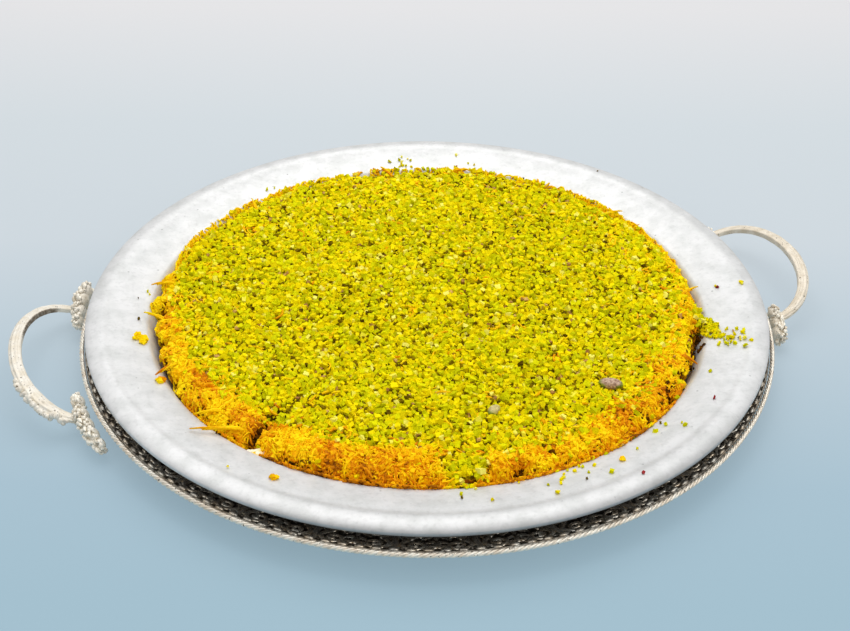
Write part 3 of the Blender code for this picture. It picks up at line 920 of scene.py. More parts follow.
    def cover(self, x: Array, y: Array, ragged: float) -> Array:
        """Share of each place that the ground nuts cover.

        Args:
            x: Places along X.
            y: Places along Y.
            ragged: How far the cover's edge strays.

        Returns:
            1 where nuts lie thick, and 0 on bare pastry.
        """
        bearing = bearing_of(x, y)
        limit = np.interp(bearing, self.cover_bearings, self.cover_radii) * MM
        blend = np.interp(bearing, self.blend_bearings, self.blend_widths) * MM
        flat = on_ground(x, y)
        stray = noise_at(flat, 9 * MM, 4.7) + 0.6 * noise_at(flat, 3.5 * MM, 1.3)
        inside = limit + ragged * stray.reshape(x.shape) - np.hypot(x, y)
        thick = smooth_step(0.5 + inside / blend)
        for at_x, at_y, size in self.tufts:
            thick = np.maximum(thick, smooth_step(2.0 - 1.6 * share_from(x, y, at_x, at_y, size)))
        return thick

    def toast(self, x: Array, y: Array) -> Array:
        """How browned the pastry is at each place, 0 to 1."""
        flat = on_ground(x, y)
        cloud = (0.9 * noise_at(flat, 14 * MM, 9.2) + 1.1 * noise_at(flat, 4.2 * MM, 2.2)).reshape(x.shape)
        front = 0.09 * smooth_step((-y - 70 * MM) / (60 * MM))
        browning = 0.2 + front + 0.34 * cloud
        for at_x, at_y, radius, amount in self.browned:
            browning = browning + amount * np.exp(-(share_from(x, y, at_x, at_y, radius) ** 2))
        reach = np.hypot(x, y)
        rim = smooth_step((reach - self.rim_middle * MM) / (3 * MM)) * smooth_step(-y / (40 * MM))
        rim = rim * (reach < self.bare_from)
        loose = 0.2 * (reach > self.bare_from)
        return np.clip(browning + 0.28 * rim - loose, 0, 1)


class NutKind(Enum):
    """The kinds of ground nut that lie on the kunafa."""

    LIME = "lime"
    YELLOW = "yellow"
    DARK = "dark"
    PALE = "pale"
    PINK = "pink"


NUTS = {
    NutKind.LIME: GroundNut("lime ground nut", linear(192, 190, 0), linear(230, 224, 0), 0.385),
    NutKind.YELLOW: GroundNut("yellow ground nut", linear(224, 204, 0), linear(250, 230, 0), 0.435),
    NutKind.DARK: GroundNut("dark ground nut", linear(78, 58, 0), linear(140, 118, 0), 0.10, 0.72),
    # the pale grains are partly pale bits of nut and partly painted highlights
    NutKind.PALE: GroundNut("pale ground nut", linear(240, 228, 40), linear(250, 242, 110), 0.055),
    NutKind.PINK: GroundNut("pink ground nut", linear(150, 100, 46), linear(218, 176, 96), 0.025, 0.72),
}


@dataclass
class NutLayer:
    """The ground pistachio strewn over the kunafa and spilled from it."""

    form: CakeForm
    spacing: float = 2.5 * MM
    top_spacing: float = 3.1 * MM
    size: float = 2.9 * MM
    seed: int = 21
    # bearings in degrees, and the share of the bare pastry on which grains lie there
    strewn_bearings: tuple[float, ...] = (-180, -95, -85, -60, -20, 20, 60, 180)
    strewn_shares: tuple[float, ...] = (0.03, 0.02, 0.07, 0.16, 0.22, 0.16, 0.06, 0.06)
    spilled_share: float = 0.62
    margin: float = 9 * MM
    ragged: float = 5 * MM
    fullness: float = 0.98
    upper_lift: float = 1.0 * MM
    clearance: float = 0.6 * MM
    rest_height: float = 0.7 * MM
    # place, radius and height in millimetres of the pile at the edge
    pile: tuple[float, float] = (153.5, -64.0)
    pile_radius: float = 7.0
    pile_height: float = 3.2
    # X, Y, spread and number of the grains of each spill, and X and Y of single grains
    spills: tuple[Heap, ...] = (
        (152.0, -58.0, 3.4, 90), (153.0, -65.0, 3.4, 120), (153.6, -72.0, 3.4, 60), (158.0, -81.0, 5.0, 18),
        (164.0, -76.0, 7.0, 9), (160.0, -88.0, 8.0, 4), (26.0, -163.0, 15.0, 12), (-18.0, -164.5, 9.0, 8),
        (95.0, -137.0, 12.0, 5), (20.0, 166.0, 9.0, 20), (60.0, 156.0, 12.0, 8), (-60.0, 155.0, 16.0, 5),
        (-160.0, 40.0, 10.0, 4),
    )
    singles: Rows = (
        (21.0, 172.5), (51.0, 158.0), (67.0, 152.0), (100.0, 132.0), (150.0, 121.0), (154.0, -48.5),
        (173.0, -27.0), (187.5, -31.0), (194.0, -38.0), (163.0, -91.0), (160.0, -71.0), (159.0, -86.0),
        (72.7, -157.7), (33.3, -163.8), (40.1, -162.0), (41.6, -163.2), (36.4, -165.8), (47.3, -164.1),
        (42.4, -169.7), (39.4, -175.0), (52.9, -173.6), (29.1, -170.0), (49.3, -157.3), (56.7, -155.1),
        (7.0, -167.0), (93.0, -139.0), (-169.0, 17.0), (-132.8, -128.1), (193.4, -40.2), (187.3, -32.5),
        (173.3, -27.8), (136.0, -104.4),
    )
    looseness: float = 0.6
    jitter: float = 0.45
    clear_of_pits: float = 0.8
    bare_reach: tuple[float, float] = (159 * MM, 196 * MM)

    def spread(self, rng: Draws, spacing: float, lift: float) -> Array:
        """Strews one layer over the disc.

        Args:
            rng: Source of the random draws.
            spacing: Distance between neighbouring grains.
            lift: Height of their middles above the top.

        Returns:
            The grains' middles.
        """
        reach = self.form.radius + self.margin
        steps = int(2 * reach / spacing)
        row, column = np.meshgrid(np.arange(-steps, steps), np.arange(-steps, steps), indexing="ij")
        x = (column + 0.5 * (row % 2)) * spacing
        y = row * spacing * math.sqrt(3) / 2
        keep = np.hypot(x, y) < reach
        x, y = x[keep], y[keep]
        x = x + rng.uniform(-self.jitter, self.jitter, len(x)) * spacing
        y = y + rng.uniform(-self.jitter, self.jitter, len(y)) * spacing
        far = np.hypot(x, y)
        within = far < self.form.rim(x, y)
        clear = self.form.near_pit(x, y) > self.clear_of_pits
        thick = self.form.cover(x, y, self.ragged) * within * clear
        strewn = np.interp(bearing_of(x, y), self.strewn_bearings, self.strewn_shares) * within
        keep = rng.uniform(0, 1, len(x)) < thick * self.fullness + strewn
        x, y, far = x[keep], y[keep], far[keep]
        ground = np.maximum(self.form.height(x, y), self.form.seat(far) + self.clearance)
        z = ground + lift + rng.uniform(-0.5, 0.5, len(x)) * MM
        return np.stack((x, y, z), axis=-1)

    def spill(self, rng: Draws) -> Array:
        """Loose grains that lie on the platter and against the kunafa's edge.

        Args:
            rng: Source of the random draws.

        Returns:
            The grains' middles.
        """
        spots = [heap(rng, spill, self.looseness) for spill in self.spills]
        flat = np.concatenate([np.array(self.singles) * MM, *spots])
        reach = np.hypot(flat[:, 0], flat[:, 1])
        keep = (reach > self.bare_reach[0]) & (reach < self.bare_reach[1])
        flat, reach = flat[keep], reach[keep]
        away = share_from(flat[:, 0], flat[:, 1], *self.pile, self.pile_radius)
        raised = rng.uniform(0, 1, len(flat)) * self.pile_height * MM * np.exp(-(away**2))
        return np.column_stack((flat, self.form.seat(reach) + self.rest_height + raised))

    def scatter(self, rng: Draws) -> list[Array]:
        """Strews the lower and the upper layer and the spilled grains, and returns their middles."""
        lower = self.spread(rng, self.spacing, 0.0)
        upper = self.spread(rng, self.top_spacing, self.upper_lift)
        crowd = noise_at(upper * (1, 1, 0), 6 * MM, 6.6)
        upper = upper[crowd + rng.uniform(-0.5, 0.5, len(upper)) > -0.05]
        return [lower, upper, self.spill(rng)]

    def make(self) -> list[Piece]:
        """Makes one joined piece for each kind of nut and returns them."""
        rng = np.random.default_rng(self.seed)
        layers = self.scatter(rng)
        centres = np.concatenate(layers)
        sizes = np.full(len(centres), self.size)
        sizes[-len(layers[-1]):] *= self.spilled_share
        draws = rng.uniform(0, 1, len(centres))
        made = []
        low = 0.0
        for kind, nut in NUTS.items():
            mine = (draws >= low) & (draws < low + nut.share)
            low += nut.share
            shape = Shape()
            add_chunks(shape, rng, centres[mine], sizes[mine] * nut.size)
            made.append(place(shape.piece(f"ground_nuts_{kind.value}", nut.make(), False), "kunafa"))
        return made


def add_chunks(shape: Shape, rng: Draws, centres: Array, size: Array) -> None:
    """Adds one chopped angular grain at each centre.

    Args:
        shape: Shape that they join.
        rng: Source of the random draws.
        centres: The grains' middles.
        size: The usual size of each.
    """
    count = len(centres)
    corners = np.array([(x, y, z) for z in (-1, 1) for y in (-1, 1) for x in (-1, 1)]) / 2
    quads = np.array([(0, 2, 3, 1), (4, 5, 7, 6), (0, 1, 5, 4), (2, 6, 7, 3), (0, 4, 6, 2), (1, 3, 7, 5)])
    sizes = size[:, None, None] * rng.uniform(0.62, 1.25, (count, 1, 1))
    sizes = sizes * rng.uniform(0.6, 1.15, (count, 1, 3))
    local = corners * rng.uniform(0.55, 1.25, (count, 8, 3)) * sizes
    yaw = rng.uniform(0, FULL_TURN, count)
    axis = unit(rng.normal(size=(count, 3)))
    turned_by = rotation(axis, yaw)
    points = np.einsum("nij,nkj->nki", turned_by, local) + centres[:, None, :]
    faces = (np.arange(count)[:, None, None] * 8 + quads).reshape(-1, 4)
    shape.add(points, [faces], tone=np.repeat(rng.uniform(0, 1, count), 8))


def rotation(axis: Array, angle: Array) -> Array:
    """Rotation matrices about axes of length one.

    Args:
        axis: The axes, one row each.
        angle: The angles in radians.

    Returns:
        One 3 by 3 matrix for each.
    """
    x, y, z = axis.T
    zero = np.zeros_like(x)
    cross = np.stack((zero, -z, y, z, zero, -x, -y, x, zero), axis=-1).reshape(-1, 3, 3)
    sine, cosine = np.sin(angle)[:, None, None], np.cos(angle)[:, None, None]
    return np.eye(3) + sine * cross + (1 - cosine) * (cross @ cross)


@dataclass
class PastryThreads:
    """The threads of baked pastry that show round the kunafa's edge and between the nuts."""

    form: CakeForm
    thickness: float = 1.35 * MM
    length: float = 7.0 * MM
    steps: int = 6
    band_threads: int = 5200
    wall_threads: int = 1300
    buried_threads: int = 260
    crumbs: int = 1500
    crumb_size: float = 2.4 * MM
    seed: int = 33
    # bearing, turn in degrees, length and reach beyond the edge of each coarse shred
    shreds: Rows = (
        (-148.1, -38.0, 31.0, 16.5), (-151.0, -20.0, 16.0, 7.5), (-165.5, 24.0, 17.0, 9.5),
        (173.0, -30.0, 15.0, 8.0), (163.0, 18.0, 16.0, 8.0), (-113.0, 35.0, 14.0, 4.5),
        (-37.0, -32.0, 14.0, 5.0), (-9.0, 28.0, 14.0, 5.5), (122.0, -25.0, 15.0, 6.5),
        (88.0, 30.0, 14.0, 5.5), (25.0, -28.0, 15.0, 6.0),
    )
    # X, Y, spread and number of the crumbs of each loose heap
    loose: tuple[Heap, ...] = (
        (-169.0, -4.0, 3.2, 22), (-160.5, -44.0, 2.0, 8), (-111.5, -140.0, 1.4, 7), (-158.0, 31.0, 2.6, 14),
        (62.0, -164.0, 2.0, 4),
    )
    looseness: float = 0.5
    taper: tuple[float, ...] = (0.6, 0.95, 1, 1, 0.95, 0.6)
    sides: int = 4
    # ranges in millimetres: distances from the middle of the top, and heights on the side
    band_radii: tuple[float, float] = (128, 165)
    crumb_radii: tuple[float, float] = (132, 164)
    wall_heights: tuple[float, float] = (9, 22)
    buried_radius: float = 145 * MM
    ragged: float = 3 * MM
    browned_from: float = 0.36
    wall_toast: float = 0.22

    def paths(self, rng: Draws, starts: Array, headings: Array) -> Array:
        """Curved threads over the kunafa's top.

        Args:
            rng: Source of the random draws.
            starts: Middle of each thread in X and Y.
            headings: Direction of each in radians.

        Returns:
            Points of each thread.
        """
        count = len(starts)
        length = self.length * rng.uniform(0.5, 1.6, (count, 1))
        along = np.linspace(-0.5, 0.5, self.steps) * length
        bend = rng.uniform(-0.13, 0.13, (count, 1)) / MM
        turn = headings[:, None] + bend * along
        x = starts[:, :1] + along * np.cos(turn)
        y = starts[:, 1:] + along * np.sin(turn)
        tilt = rng.uniform(-0.16, 0.16, (count, 1)) * along / MM
        lift = rng.uniform(-0.5, 1.2, (count, 1)) + 0.5 * np.sin(np.linspace(0, 9, self.steps) + 6 * turn)
        reach = np.hypot(x, y)
        far = self.form.rim(x, y)
        keep = np.where(reach > far, far / reach, 1.0)
        x, y = x * keep, y * keep
        ground = np.maximum(self.form.height(x, y), self.form.seat(np.hypot(x, y)) + 0.7 * MM)
        return np.stack((x, y, ground + (lift + tilt) * MM), axis=-1)

    def band(self, rng: Draws) -> Array:
        """Threads of the bare band round the edge."""
        bearing = rng.uniform(-math.pi, math.pi, self.band_threads * 5)
        radius = rng.uniform(*self.band_radii, len(bearing)) * MM
        spots = polar(radius, bearing, 0)
        bare = 1 - self.form.cover(spots[:, 0], spots[:, 1], self.ragged)
        bare = (bare + 0.06) * (radius < self.form.rim(spots[:, 0], spots[:, 1]) + 1 * MM)
        bare = bare * (self.form.near_pit(spots[:, 0], spots[:, 1]) > 0.95)
        spots = spots[rng.uniform(0, 1, len(spots)) < bare][: self.band_threads]
        return self.paths(rng, spots[:, :2], rng.uniform(0, FULL_TURN, len(spots)))

    def buried(self, rng: Draws) -> Array:
        """Threads that show between the nuts of the top."""
        bearing = rng.uniform(-math.pi, math.pi, self.buried_threads)
        radius = self.buried_radius * np.sqrt(rng.uniform(0, 1, len(bearing)))
        spots = polar(radius, bearing, 0)
        made = self.paths(rng, spots[:, :2], rng.uniform(0, FULL_TURN, len(spots)))
        made[..., 2] += 0.6 * MM
        return made

    def shred_paths(self) -> Array:
        """The coarse shreds that stick out over the platter, tapered in a few strokes."""
        made = []
        for bearing, turn, length, out in self.shreds:
            at, heading = math.radians(bearing), math.radians(bearing + turn)
            tip = polar(self.form.radius + out * MM, at, 26.3 * MM + 0.06 * out * MM)
            toward = np.array((math.cos(heading), math.sin(heading), 0.16))
            for side, shorter in ((0.0, 1.0), (0.7, 0.8), (-0.7, 0.66)):
                share = np.linspace(0, 1, self.steps)[:, None]
                start = tip - toward * length * MM
                start[2] = self.form.height(start[:1], start[1:2])[0] - 0.4 * MM
                path = start + (tip - start) * share * shorter
                path[:, 2] += 1.4 * MM * np.sin(math.pi * share[:, 0])
                path[:, 0] -= side * MM * math.sin(heading) * (1 - 0.5 * share[:, 0])
                path[:, 1] += side * MM * math.cos(heading) * (1 - 0.5 * share[:, 0])
                floor = self.form.seat(np.hypot(path[:, 0], path[:, 1])) + 0.8 * MM
                path[:, 2] = np.maximum(path[:, 2], floor)
                made.append(path)
        return np.array(made)

    def crumb_spots(self, rng: Draws) -> Array:
        """Middles of the crumbs that lie among the threads and loose on the platter."""
        bearing = rng.uniform(-math.pi, math.pi, self.crumbs * 4)
        radius = rng.uniform(*self.crumb_radii, len(bearing)) * MM
        spots = polar(radius, bearing, 0)
        bare = 1 - self.form.cover(spots[:, 0], spots[:, 1], self.ragged)
        keep = (rng.uniform(0, 1, len(spots)) < bare) & (radius < self.form.rim(spots[:, 0], spots[:, 1]))
        keep = keep & (self.form.near_pit(spots[:, 0], spots[:, 1]) > 0.9)
        blocks = [spots[keep][: self.crumbs, :2]]
        blocks += [heap(rng, spot, self.looseness) for spot in self.loose]
        flat = np.concatenate(blocks)
        reach = np.hypot(flat[:, 0], flat[:, 1])
        ground = np.where(
            reach < 161 * MM,
            np.maximum(self.form.height(flat[:, 0], flat[:, 1]) + 0.8 * MM, self.form.seat(reach)),
            self.form.seat(reach) + 0.9 * MM,
        )
        return np.column_stack((flat, ground))

    def wall(self, rng: Draws) -> Array:
        """Threads of the kunafa's side, above the well's wall."""
        count = self.wall_threads
        bearing = rng.uniform(-math.pi, math.pi, (count, 1))
        middle = rng.uniform(*self.wall_heights, (count, 1)) * MM
        length = self.length * rng.uniform(0.6, 1.3, (count, 1))
        along = np.linspace(-0.5, 0.5, self.steps) * length
        slant = rng.uniform(-1.0, 1.0, (count, 1))
        z = np.clip(middle + along * np.sin(slant), 5.5 * MM, 22.5 * MM)
        low, high = self.form.wall_foot, self.form.wall_head
        radius = np.interp(z, (low[1], high[1]), (low[0], high[0])) - 1.0 * MM
        radius = np.minimum(radius, self.form.radius) + rng.uniform(-0.4, 0.5, (count, 1)) * MM
        made = polar(radius, bearing + along * np.cos(slant) / radius, z)
        clear = self.form.near_pit(made[..., 0], made[..., 1]).min(axis=1) > 1.1
        return made[clear]

    def make(self) -> list[Piece]:
        """Makes the golden and the browned threads and returns them."""
        rng = np.random.default_rng(self.seed)
        loose = (self.band(rng), self.buried(rng), self.shred_paths())
        wall = self.wall(rng)
        paths = np.concatenate((*loose, wall))
        middle = paths[:, self.steps // 2]
        toast = self.form.toast(middle[:, 0], middle[:, 1]) + rng.uniform(-0.2, 0.2, len(paths))
        toast[-len(wall):] += self.wall_toast
        radii = self.thickness / 2 * rng.uniform(0.7, 1.25, (len(paths), 1))
        radii = radii * np.array(self.taper)
        browned = toast >= self.browned_from
        made = []
        for name, mine in (("pastry_threads_golden", ~browned), ("pastry_threads_browned", browned)):
            points, faces = tubes(paths[mine], radii[mine], self.sides)
            own = np.clip(toast[mine], 0, 1)
            values = np.concatenate((np.repeat(own, self.steps * self.sides), own, own))
            shape = Shape()
            shape.add(points, faces, toast=values)
            finish = ShreddedPastry(name.replace("_", " ")).make()
            made.append(place(shape.piece(name, finish, True), "kunafa"))
        spots = self.crumb_spots(rng)
        shape = Shape()
        add_chunks(shape, rng, spots, np.full(len(spots), self.crumb_size))
        toast = self.form.toast(spots[:, 0], spots[:, 1]) + rng.uniform(-0.18, 0.1, len(spots))
        shape.tones = {"toast": [np.repeat(np.clip(toast, 0, 1), 8)]}
        finish = ShreddedPastry("pastry crumbs").make()
        made.append(place(shape.piece("pastry_crumbs", finish, False), "kunafa"))
        return made


@dataclass
class KunafaBody:
    """The kunafa's own body under its nuts and threads."""

    form: CakeForm
    rings: int = 112
    segments: int = 600

    def make(self) -> Piece:
        """Makes the body and returns it."""
        bearings = spaced_round(self.segments)
        shares = np.linspace(0, 1, self.rings)[1:] ** 0.8
        stray = self.form.outline(bearings)
        stretch = 1 + stray[None, :] / self.form.radius * shares[:, None] ** 6
        radius = shares[:, None] * self.form.radius * stretch
        x, y = radius * np.cos(bearings), radius * np.sin(bearings)
        z = self.form.height(x, y)
        flat = on_ground(x, y)
        crumb = noise_at(flat, 3.0 * MM, 5.5) + 0.7 * noise_at(flat, 1.6 * MM, 7.7)
        z = z + 0.45 * MM * crumb.reshape(z.shape) - 0.3 * MM
        cover = self.form.cover(x, y, 4 * MM)
        # painted shade: how far each place is darkened towards the pit colour
        pit = 0.9 * smooth_step((1.35 - self.form.near_pit(x, y)) / 0.6)
        low, high = self.form.wall_foot, self.form.wall_head
        side = (
            (high[0] - 1.4 * MM, high[1]),
            (157.0 * MM, 14 * MM),
            (low[0] - 1 * MM, low[1]),
            (self.form.foot, self.form.base),
        )
        rows = [polar(out + 0.5 * stray, bearings, height)[None] for out, height in side]
        points = np.concatenate((np.stack((x, y, z), axis=-1), *rows))
        shape = Shape()
        hub = np.array([[0, 0, z[0].mean()], [0, 0, self.form.base]])
        count = points.shape[0] * self.segments
        turn = np.arange(self.segments)
        after = (turn + 1) % self.segments
        last = count - self.segments
        caps = [
            np.stack((np.full_like(turn, count), turn, after), axis=-1),
            np.stack((np.full_like(turn, count + 1), last + after, last + turn), axis=-1),
        ]
        faces = [grid_faces(points.shape[0], self.segments, False, True)[:, ::-1], *caps]
        under = np.zeros(len(side) * self.segments)
        cover = np.concatenate((cover.ravel(), under, [1, 0]))
        pit = np.concatenate((pit.ravel(), under, [0, 0]))
        shape.add(np.concatenate((points.reshape(-1, 3), hub)), faces, cover=cover, pit=pit)
        return place(shape.piece("kunafa_body", UnderCrumb().make(), True), "kunafa", "kunafa")


@dataclass
class Platter:
    """The white metal platter: a flat well, a rising wall, a dished flange and a rolled lip."""

    sheet: float = 1.2 * MM
    well_floor: float = 3.0 * MM
    well_radius: float = 150.0 * MM
    lip_reach: float = 12.0
    lip_middle: tuple[float, float] = (188.0, 26.2)
    lip_rise: float = 2.9
    # where the lip's painted shade lies: its outer fall, its turned-down edge and the dimmed crest
    fall_start: float = 193.0 * MM
    fall_end: float = 200.0 * MM
    edge_start: float = 26.6 * MM
    edge_end: float = 24.4 * MM
    crest: float = 190.0 * MM
    crest_width: float = 4.5 * MM
    crest_share: float = 0.2
    segments: int = 420

    def upper(self) -> Array:
        """Radius and height of the upper side, from the middle to the lip's turned-down edge."""
        floor = [(share * self.well_radius, self.well_floor) for share in (0.002, 0.3, 0.6, 0.85, 0.97)]
        wall = [
            (150.0, 3.05), (152.2, 3.7), (154.4, 5.0), (156.0, 6.6), (158.4, 11.3), (160.8, 16.1),
            (162.6, 19.7), (163.6, 21.4), (164.6, 22.6), (166.0, 23.3),
        ]
        flange = [
            (169.0, 24.1), (172.0, 24.9), (175.0, 25.75), (178.0, 26.5), (181.0, 27.2), (183.6, 27.7),
            (185.6, 28.0), (187.0, 28.25), (188.2, 28.6), (189.6, 28.95), (191.4, 29.05), (193.0, 28.9),
        ]
        turn = np.radians(np.linspace(58, 0, 14))
        lip = np.stack((
            self.lip_middle[0] + self.lip_reach * np.cos(turn),
            self.lip_middle[1] + self.lip_rise * np.sin(turn),
        ), axis=-1)
        edge = [(200.0, 25.4), (199.8, 24.7), (199.4, 24.2)]
        outside = np.concatenate((wall, flange, lip, edge)) * MM
        return np.concatenate((floor, outside))

    def make(self) -> Piece:
        """Makes the platter and returns it."""
        upper = self.upper()
        along = unit(np.gradient(upper, axis=0))
        lower = upper + self.sheet * np.stack((along[:, 1], -along[:, 0]), axis=-1)
        lower[0, 0] = upper[0, 0]
        outline = np.concatenate((upper, lower[::-1]))
        points, faces = turned(outline, self.segments)
        # painted shade: the lip's outer, turned-down edge darkens, most at the front, a band at the crest
        # is dimmed to tone its highlight down, and the whole underside is dark
        out = smooth_step((upper[:, 0] - self.fall_start) / (self.fall_end - self.fall_start))
        down = smooth_step((self.edge_start - upper[:, 1]) / (self.edge_start - self.edge_end))
        crest = self.crest_share * np.exp(-(((upper[:, 0] - self.crest) / self.crest_width) ** 2))
        mottle_and_painted_shade = 0.42 * out + 0.3 * down * (upper[:, 0] > self.lip_middle[0] * MM) + crest * (1 - out)
        front = 0.05 + 0.95 * smooth_step((-np.sin(spaced_round(self.segments)) - 0.55) / 0.42)
        under = np.full((self.segments, len(lower)), 0.95)
        edge = np.concatenate((front[:, None] * mottle_and_painted_shade[None, :], under), axis=1)
        shape = Shape()
        shape.add(points, faces, edge=edge)
        return place(shape.piece("platter_sheet", WhiteMetal().make(), True), "platter_metal", "platter")


@dataclass
class TrayFloor:
    """The tray's flat floor, with a raised bead at its edge."""

    radius: float = 171.0 * MM
    sheet: float = 1.5 * MM
    bead: float = 2.4 * MM
    bead_height: float = 3.6 * MM
    segments: int = 240

    def make(self) -> Piece:
        """Makes the floor and returns it."""
        turn = np.radians(np.linspace(180, 0, 9))
        middle = self.radius - self.bead / 2
        bead = np.stack((
            middle + self.bead / 2 * np.cos(turn),
            self.sheet + (self.bead_height - self.sheet) * np.sin(turn) ** 0.7,
        ), axis=-1)
        start = np.array([(0.4 * MM, self.sheet), (0.5 * self.radius, self.sheet)])
        end = np.array([(self.radius, 0.5 * MM), (self.radius - 0.5 * MM, 0.0), (0.4 * MM, 0.0)])
        outline = np.concatenate((start, bead, end))
        points, faces = turned(outline, self.segments)
        shape = Shape()
        shape.add(points, faces, recess=np.full(len(points) * len(outline), 0.7))
        finish = WarmSilver("silver of the floor", roughness=0.34).make()
        return place(shape.piece("tray_floor_sheet", finish, True), "tray_silver", "tray_floor")


@dataclass
class Gallery:
    """The pierced gallery: cast scrolls, leaves and beads between the tray's floor and its rope."""

    inner: float = 171.3 * MM
    outer: float = 201.1 * MM
    foot: float = 2.7 * MM
    rise: float = 12.7 * MM
    cells: int = 30
    cell_width: float = 39.0
    cell_length: float = 33.0
    wire: float = 1.35 * MM
    bars: int = 11
    bar: float = 1.55 * MM
    bead_count: int = 5
    bead: float = 1.7 * MM
    bead_row: float = 0.94
    bar_slant: float = 9.0
    # share of the way up the band and radius of each rail
    rails: Rows = ((0.02, 1.0 * MM), (0.86, 0.6 * MM), (0.985, 0.8 * MM))
    rail_steps: int = 360
    # place across and along the cell, radius, start in degrees and turns of each scroll
    scrolls: Rows = (
        (10.2, 23.6, 7.6, -70, 1.55), (9.6, 9.2, 6.6, 75, -1.5), (3.6, 28.6, 3.4, 200, 1.2),
    )
    # place across and along the cell, length, width and turn in degrees of each leaf
    leaves: Rows = (
        (17.0, 12.0, 8.5, 3.8, -28), (17.2, 20.0, 9.0, 3.4, -12), (1.2, 8.0, 10.5, 3.8, 36),
        (0.8, 16.5, 9.0, 3.2, 48), (14.2, 26.5, 5.6, 2.8, -55),
    )

    def slope(self, share: Array | float) -> tuple[Array | float, Array | float]:
        """Radius and height of the band at a share of the way from its foot to the rope."""
        radius = self.inner + (self.outer - self.inner) * share
        return radius, self.foot + self.rise * (0.75 * share + 0.25 * share**2)

    def on_band(self, across: Array, along: Array, lift: Array) -> Array:
        """Points on the sloping band.

        Args:
            across: Millimetres across one cell.
            along: Millimetres from the foot towards the rope.
            lift: Height above the band in metres.

        Returns:
            The points.
        """
        radius, height = self.slope(along / self.cell_length)
        return polar(radius, across / self.cell_width * FULL_TURN / self.cells, height + lift)

    def wire_along(self, shape: Shape, across: Array, along: Array, radii: Array) -> None:
        """Adds one cast wire over the band.

        Args:
            shape: Shape that it joins.
            across: Millimetres across the cell, at each step.
            along: Millimetres from the foot, at each step.
            radii: Radius at each step.
        """
        path = self.on_band(across, along, np.zeros_like(across))
        points, faces = tubes(path[None], radii[None], 6, 0.9)
        shape.add(points, faces, recess=np.full(len(points), 0.2))

    def scroll(
        self, shape: Shape, middle: tuple[float, float], reach: float, start: float, turns: float
    ) -> None:
        """Adds one scroll that curls in on itself.

        Args:
            shape: Shape that it joins.
            middle: Middle of the curl in millimetres of the cell.
            reach: Radius of its outer end in millimetres.
            start: Angle of its outer end in degrees.
            turns: Turns to its inner end, negative the other way round.
        """
        share = np.linspace(0, 1, 22)
        angle = math.radians(start) + share * turns * FULL_TURN
        radius = reach * (1 - 0.82 * share**0.8)
        radii = self.wire * (1.1 - 0.35 * share)
        radii[-2:] = self.wire * 1.35
        across, along = middle[0] + radius * np.cos(angle), middle[1] + radius * np.sin(angle)
        self.wire_along(shape, across, along, radii)

    def leaf(
        self, shape: Shape, base: tuple[float, float], length: float, width: float, turn: float
    ) -> None:
        """Adds one small veined leaf.

        Args:
            shape: Shape that it joins.
            base: Foot of the leaf in millimetres of the cell.
            length: Its length in millimetres.
            width: Its width in millimetres.
            turn: Its direction in degrees from the way towards the rope.
        """
        rows, sides = 9, 8
        share = np.linspace(0, 1, rows)[:, None]
        angle = spaced_round(sides, 0.5)[None, :]
        half = width / 2 * np.sin(math.pi * share**0.75) * (1 + 0.12 * np.cos(5 * math.pi * share)) + 0.12
        sideways = half * np.cos(angle)
        forward = share * length + 0 * angle
        lift = (0.35 + 0.9 * half / width) * np.sin(angle) * MM
        heading = math.radians(turn)
        across = base[0] + sideways * math.cos(heading) + forward * math.sin(heading)
        along = base[1] + forward * math.cos(heading) - sideways * math.sin(heading)
        points = self.on_band(across, along, lift)
        recess = 0.5 - 0.5 * np.abs(np.cos(angle)) + 0 * share
        shape.add(points, [grid_faces(rows, sides, False, True)[:, ::-1]], recess=recess)

    def motif(self) -> Shape:
        """One cell of the openwork."""
        shape = Shape()
        width, length = self.cell_width, self.cell_length
        steps = np.linspace(0, 1, 12)
        rib = self.wire * (1.0 + 0.5 * np.sin(math.pi * steps) ** 2)
        self.wire_along(shape, 0.6 * np.sin(steps * 9), 0.5 + steps * (length - 1), rib)
        for side in (1, -1):
            start = 0 if side > 0 else 180
            for out, up, reach, swing, turns in self.scrolls:
                self.scroll(shape, (width / 2 + side * out, up), reach, start + side * swing, side * turns)
            for out, up, long, wide, turn in self.leaves:
                self.leaf(shape, (width / 2 + side * out, up), long, wide, side * turn)
        self.leaf(shape, (width / 2, 3.0), 15.0, 5.0, 0.0)
        self.leaf(shape, (width / 2, 17.5), 11.0, 4.0, 0.0)
        return shape

    def ground(self, shape: Shape) -> None:
        """Adds a net of bars behind the scrolls, painted dark as a stand-in for the shade under the
        platter.
        """
        count = self.cells * self.bars
        share = np.linspace(0.02, 0.98, 9)
        start = np.arange(count)[:, None] * self.cell_width / self.bars
        along = np.tile(share * self.cell_length, (count, 1))
        slant = self.bar_slant * share
        paths = np.concatenate([self.on_band(start + side * slant, along, -0.2 * MM) for side in (1, -1)])
        points, faces = tubes(paths, np.full(paths.shape[:2], self.bar), 6, 0.35)
        # painted shade: the net takes the darkest tone
        shape.add(points, faces, recess=np.full(len(points), 1.1))

    def beads(self, shape: Shape) -> None:
        """Adds the row of beads under the rope and the foot's and the head's rails."""
        count = self.cells * self.bead_count
        share = np.array([-1, -0.7, 0, 0.7, 1])
        spread = 1.5 * self.bead * share / (198 * MM)
        radius, height = self.slope(self.bead_row)
        paths = polar(radius, spaced_round(count)[:, None] + spread[None, :], height + 0.35 * MM)
        radii = np.tile(self.bead * np.array([0.35, 0.85, 1.0, 0.85, 0.35]), (count, 1))
        points, faces = tubes(paths, radii, 6)
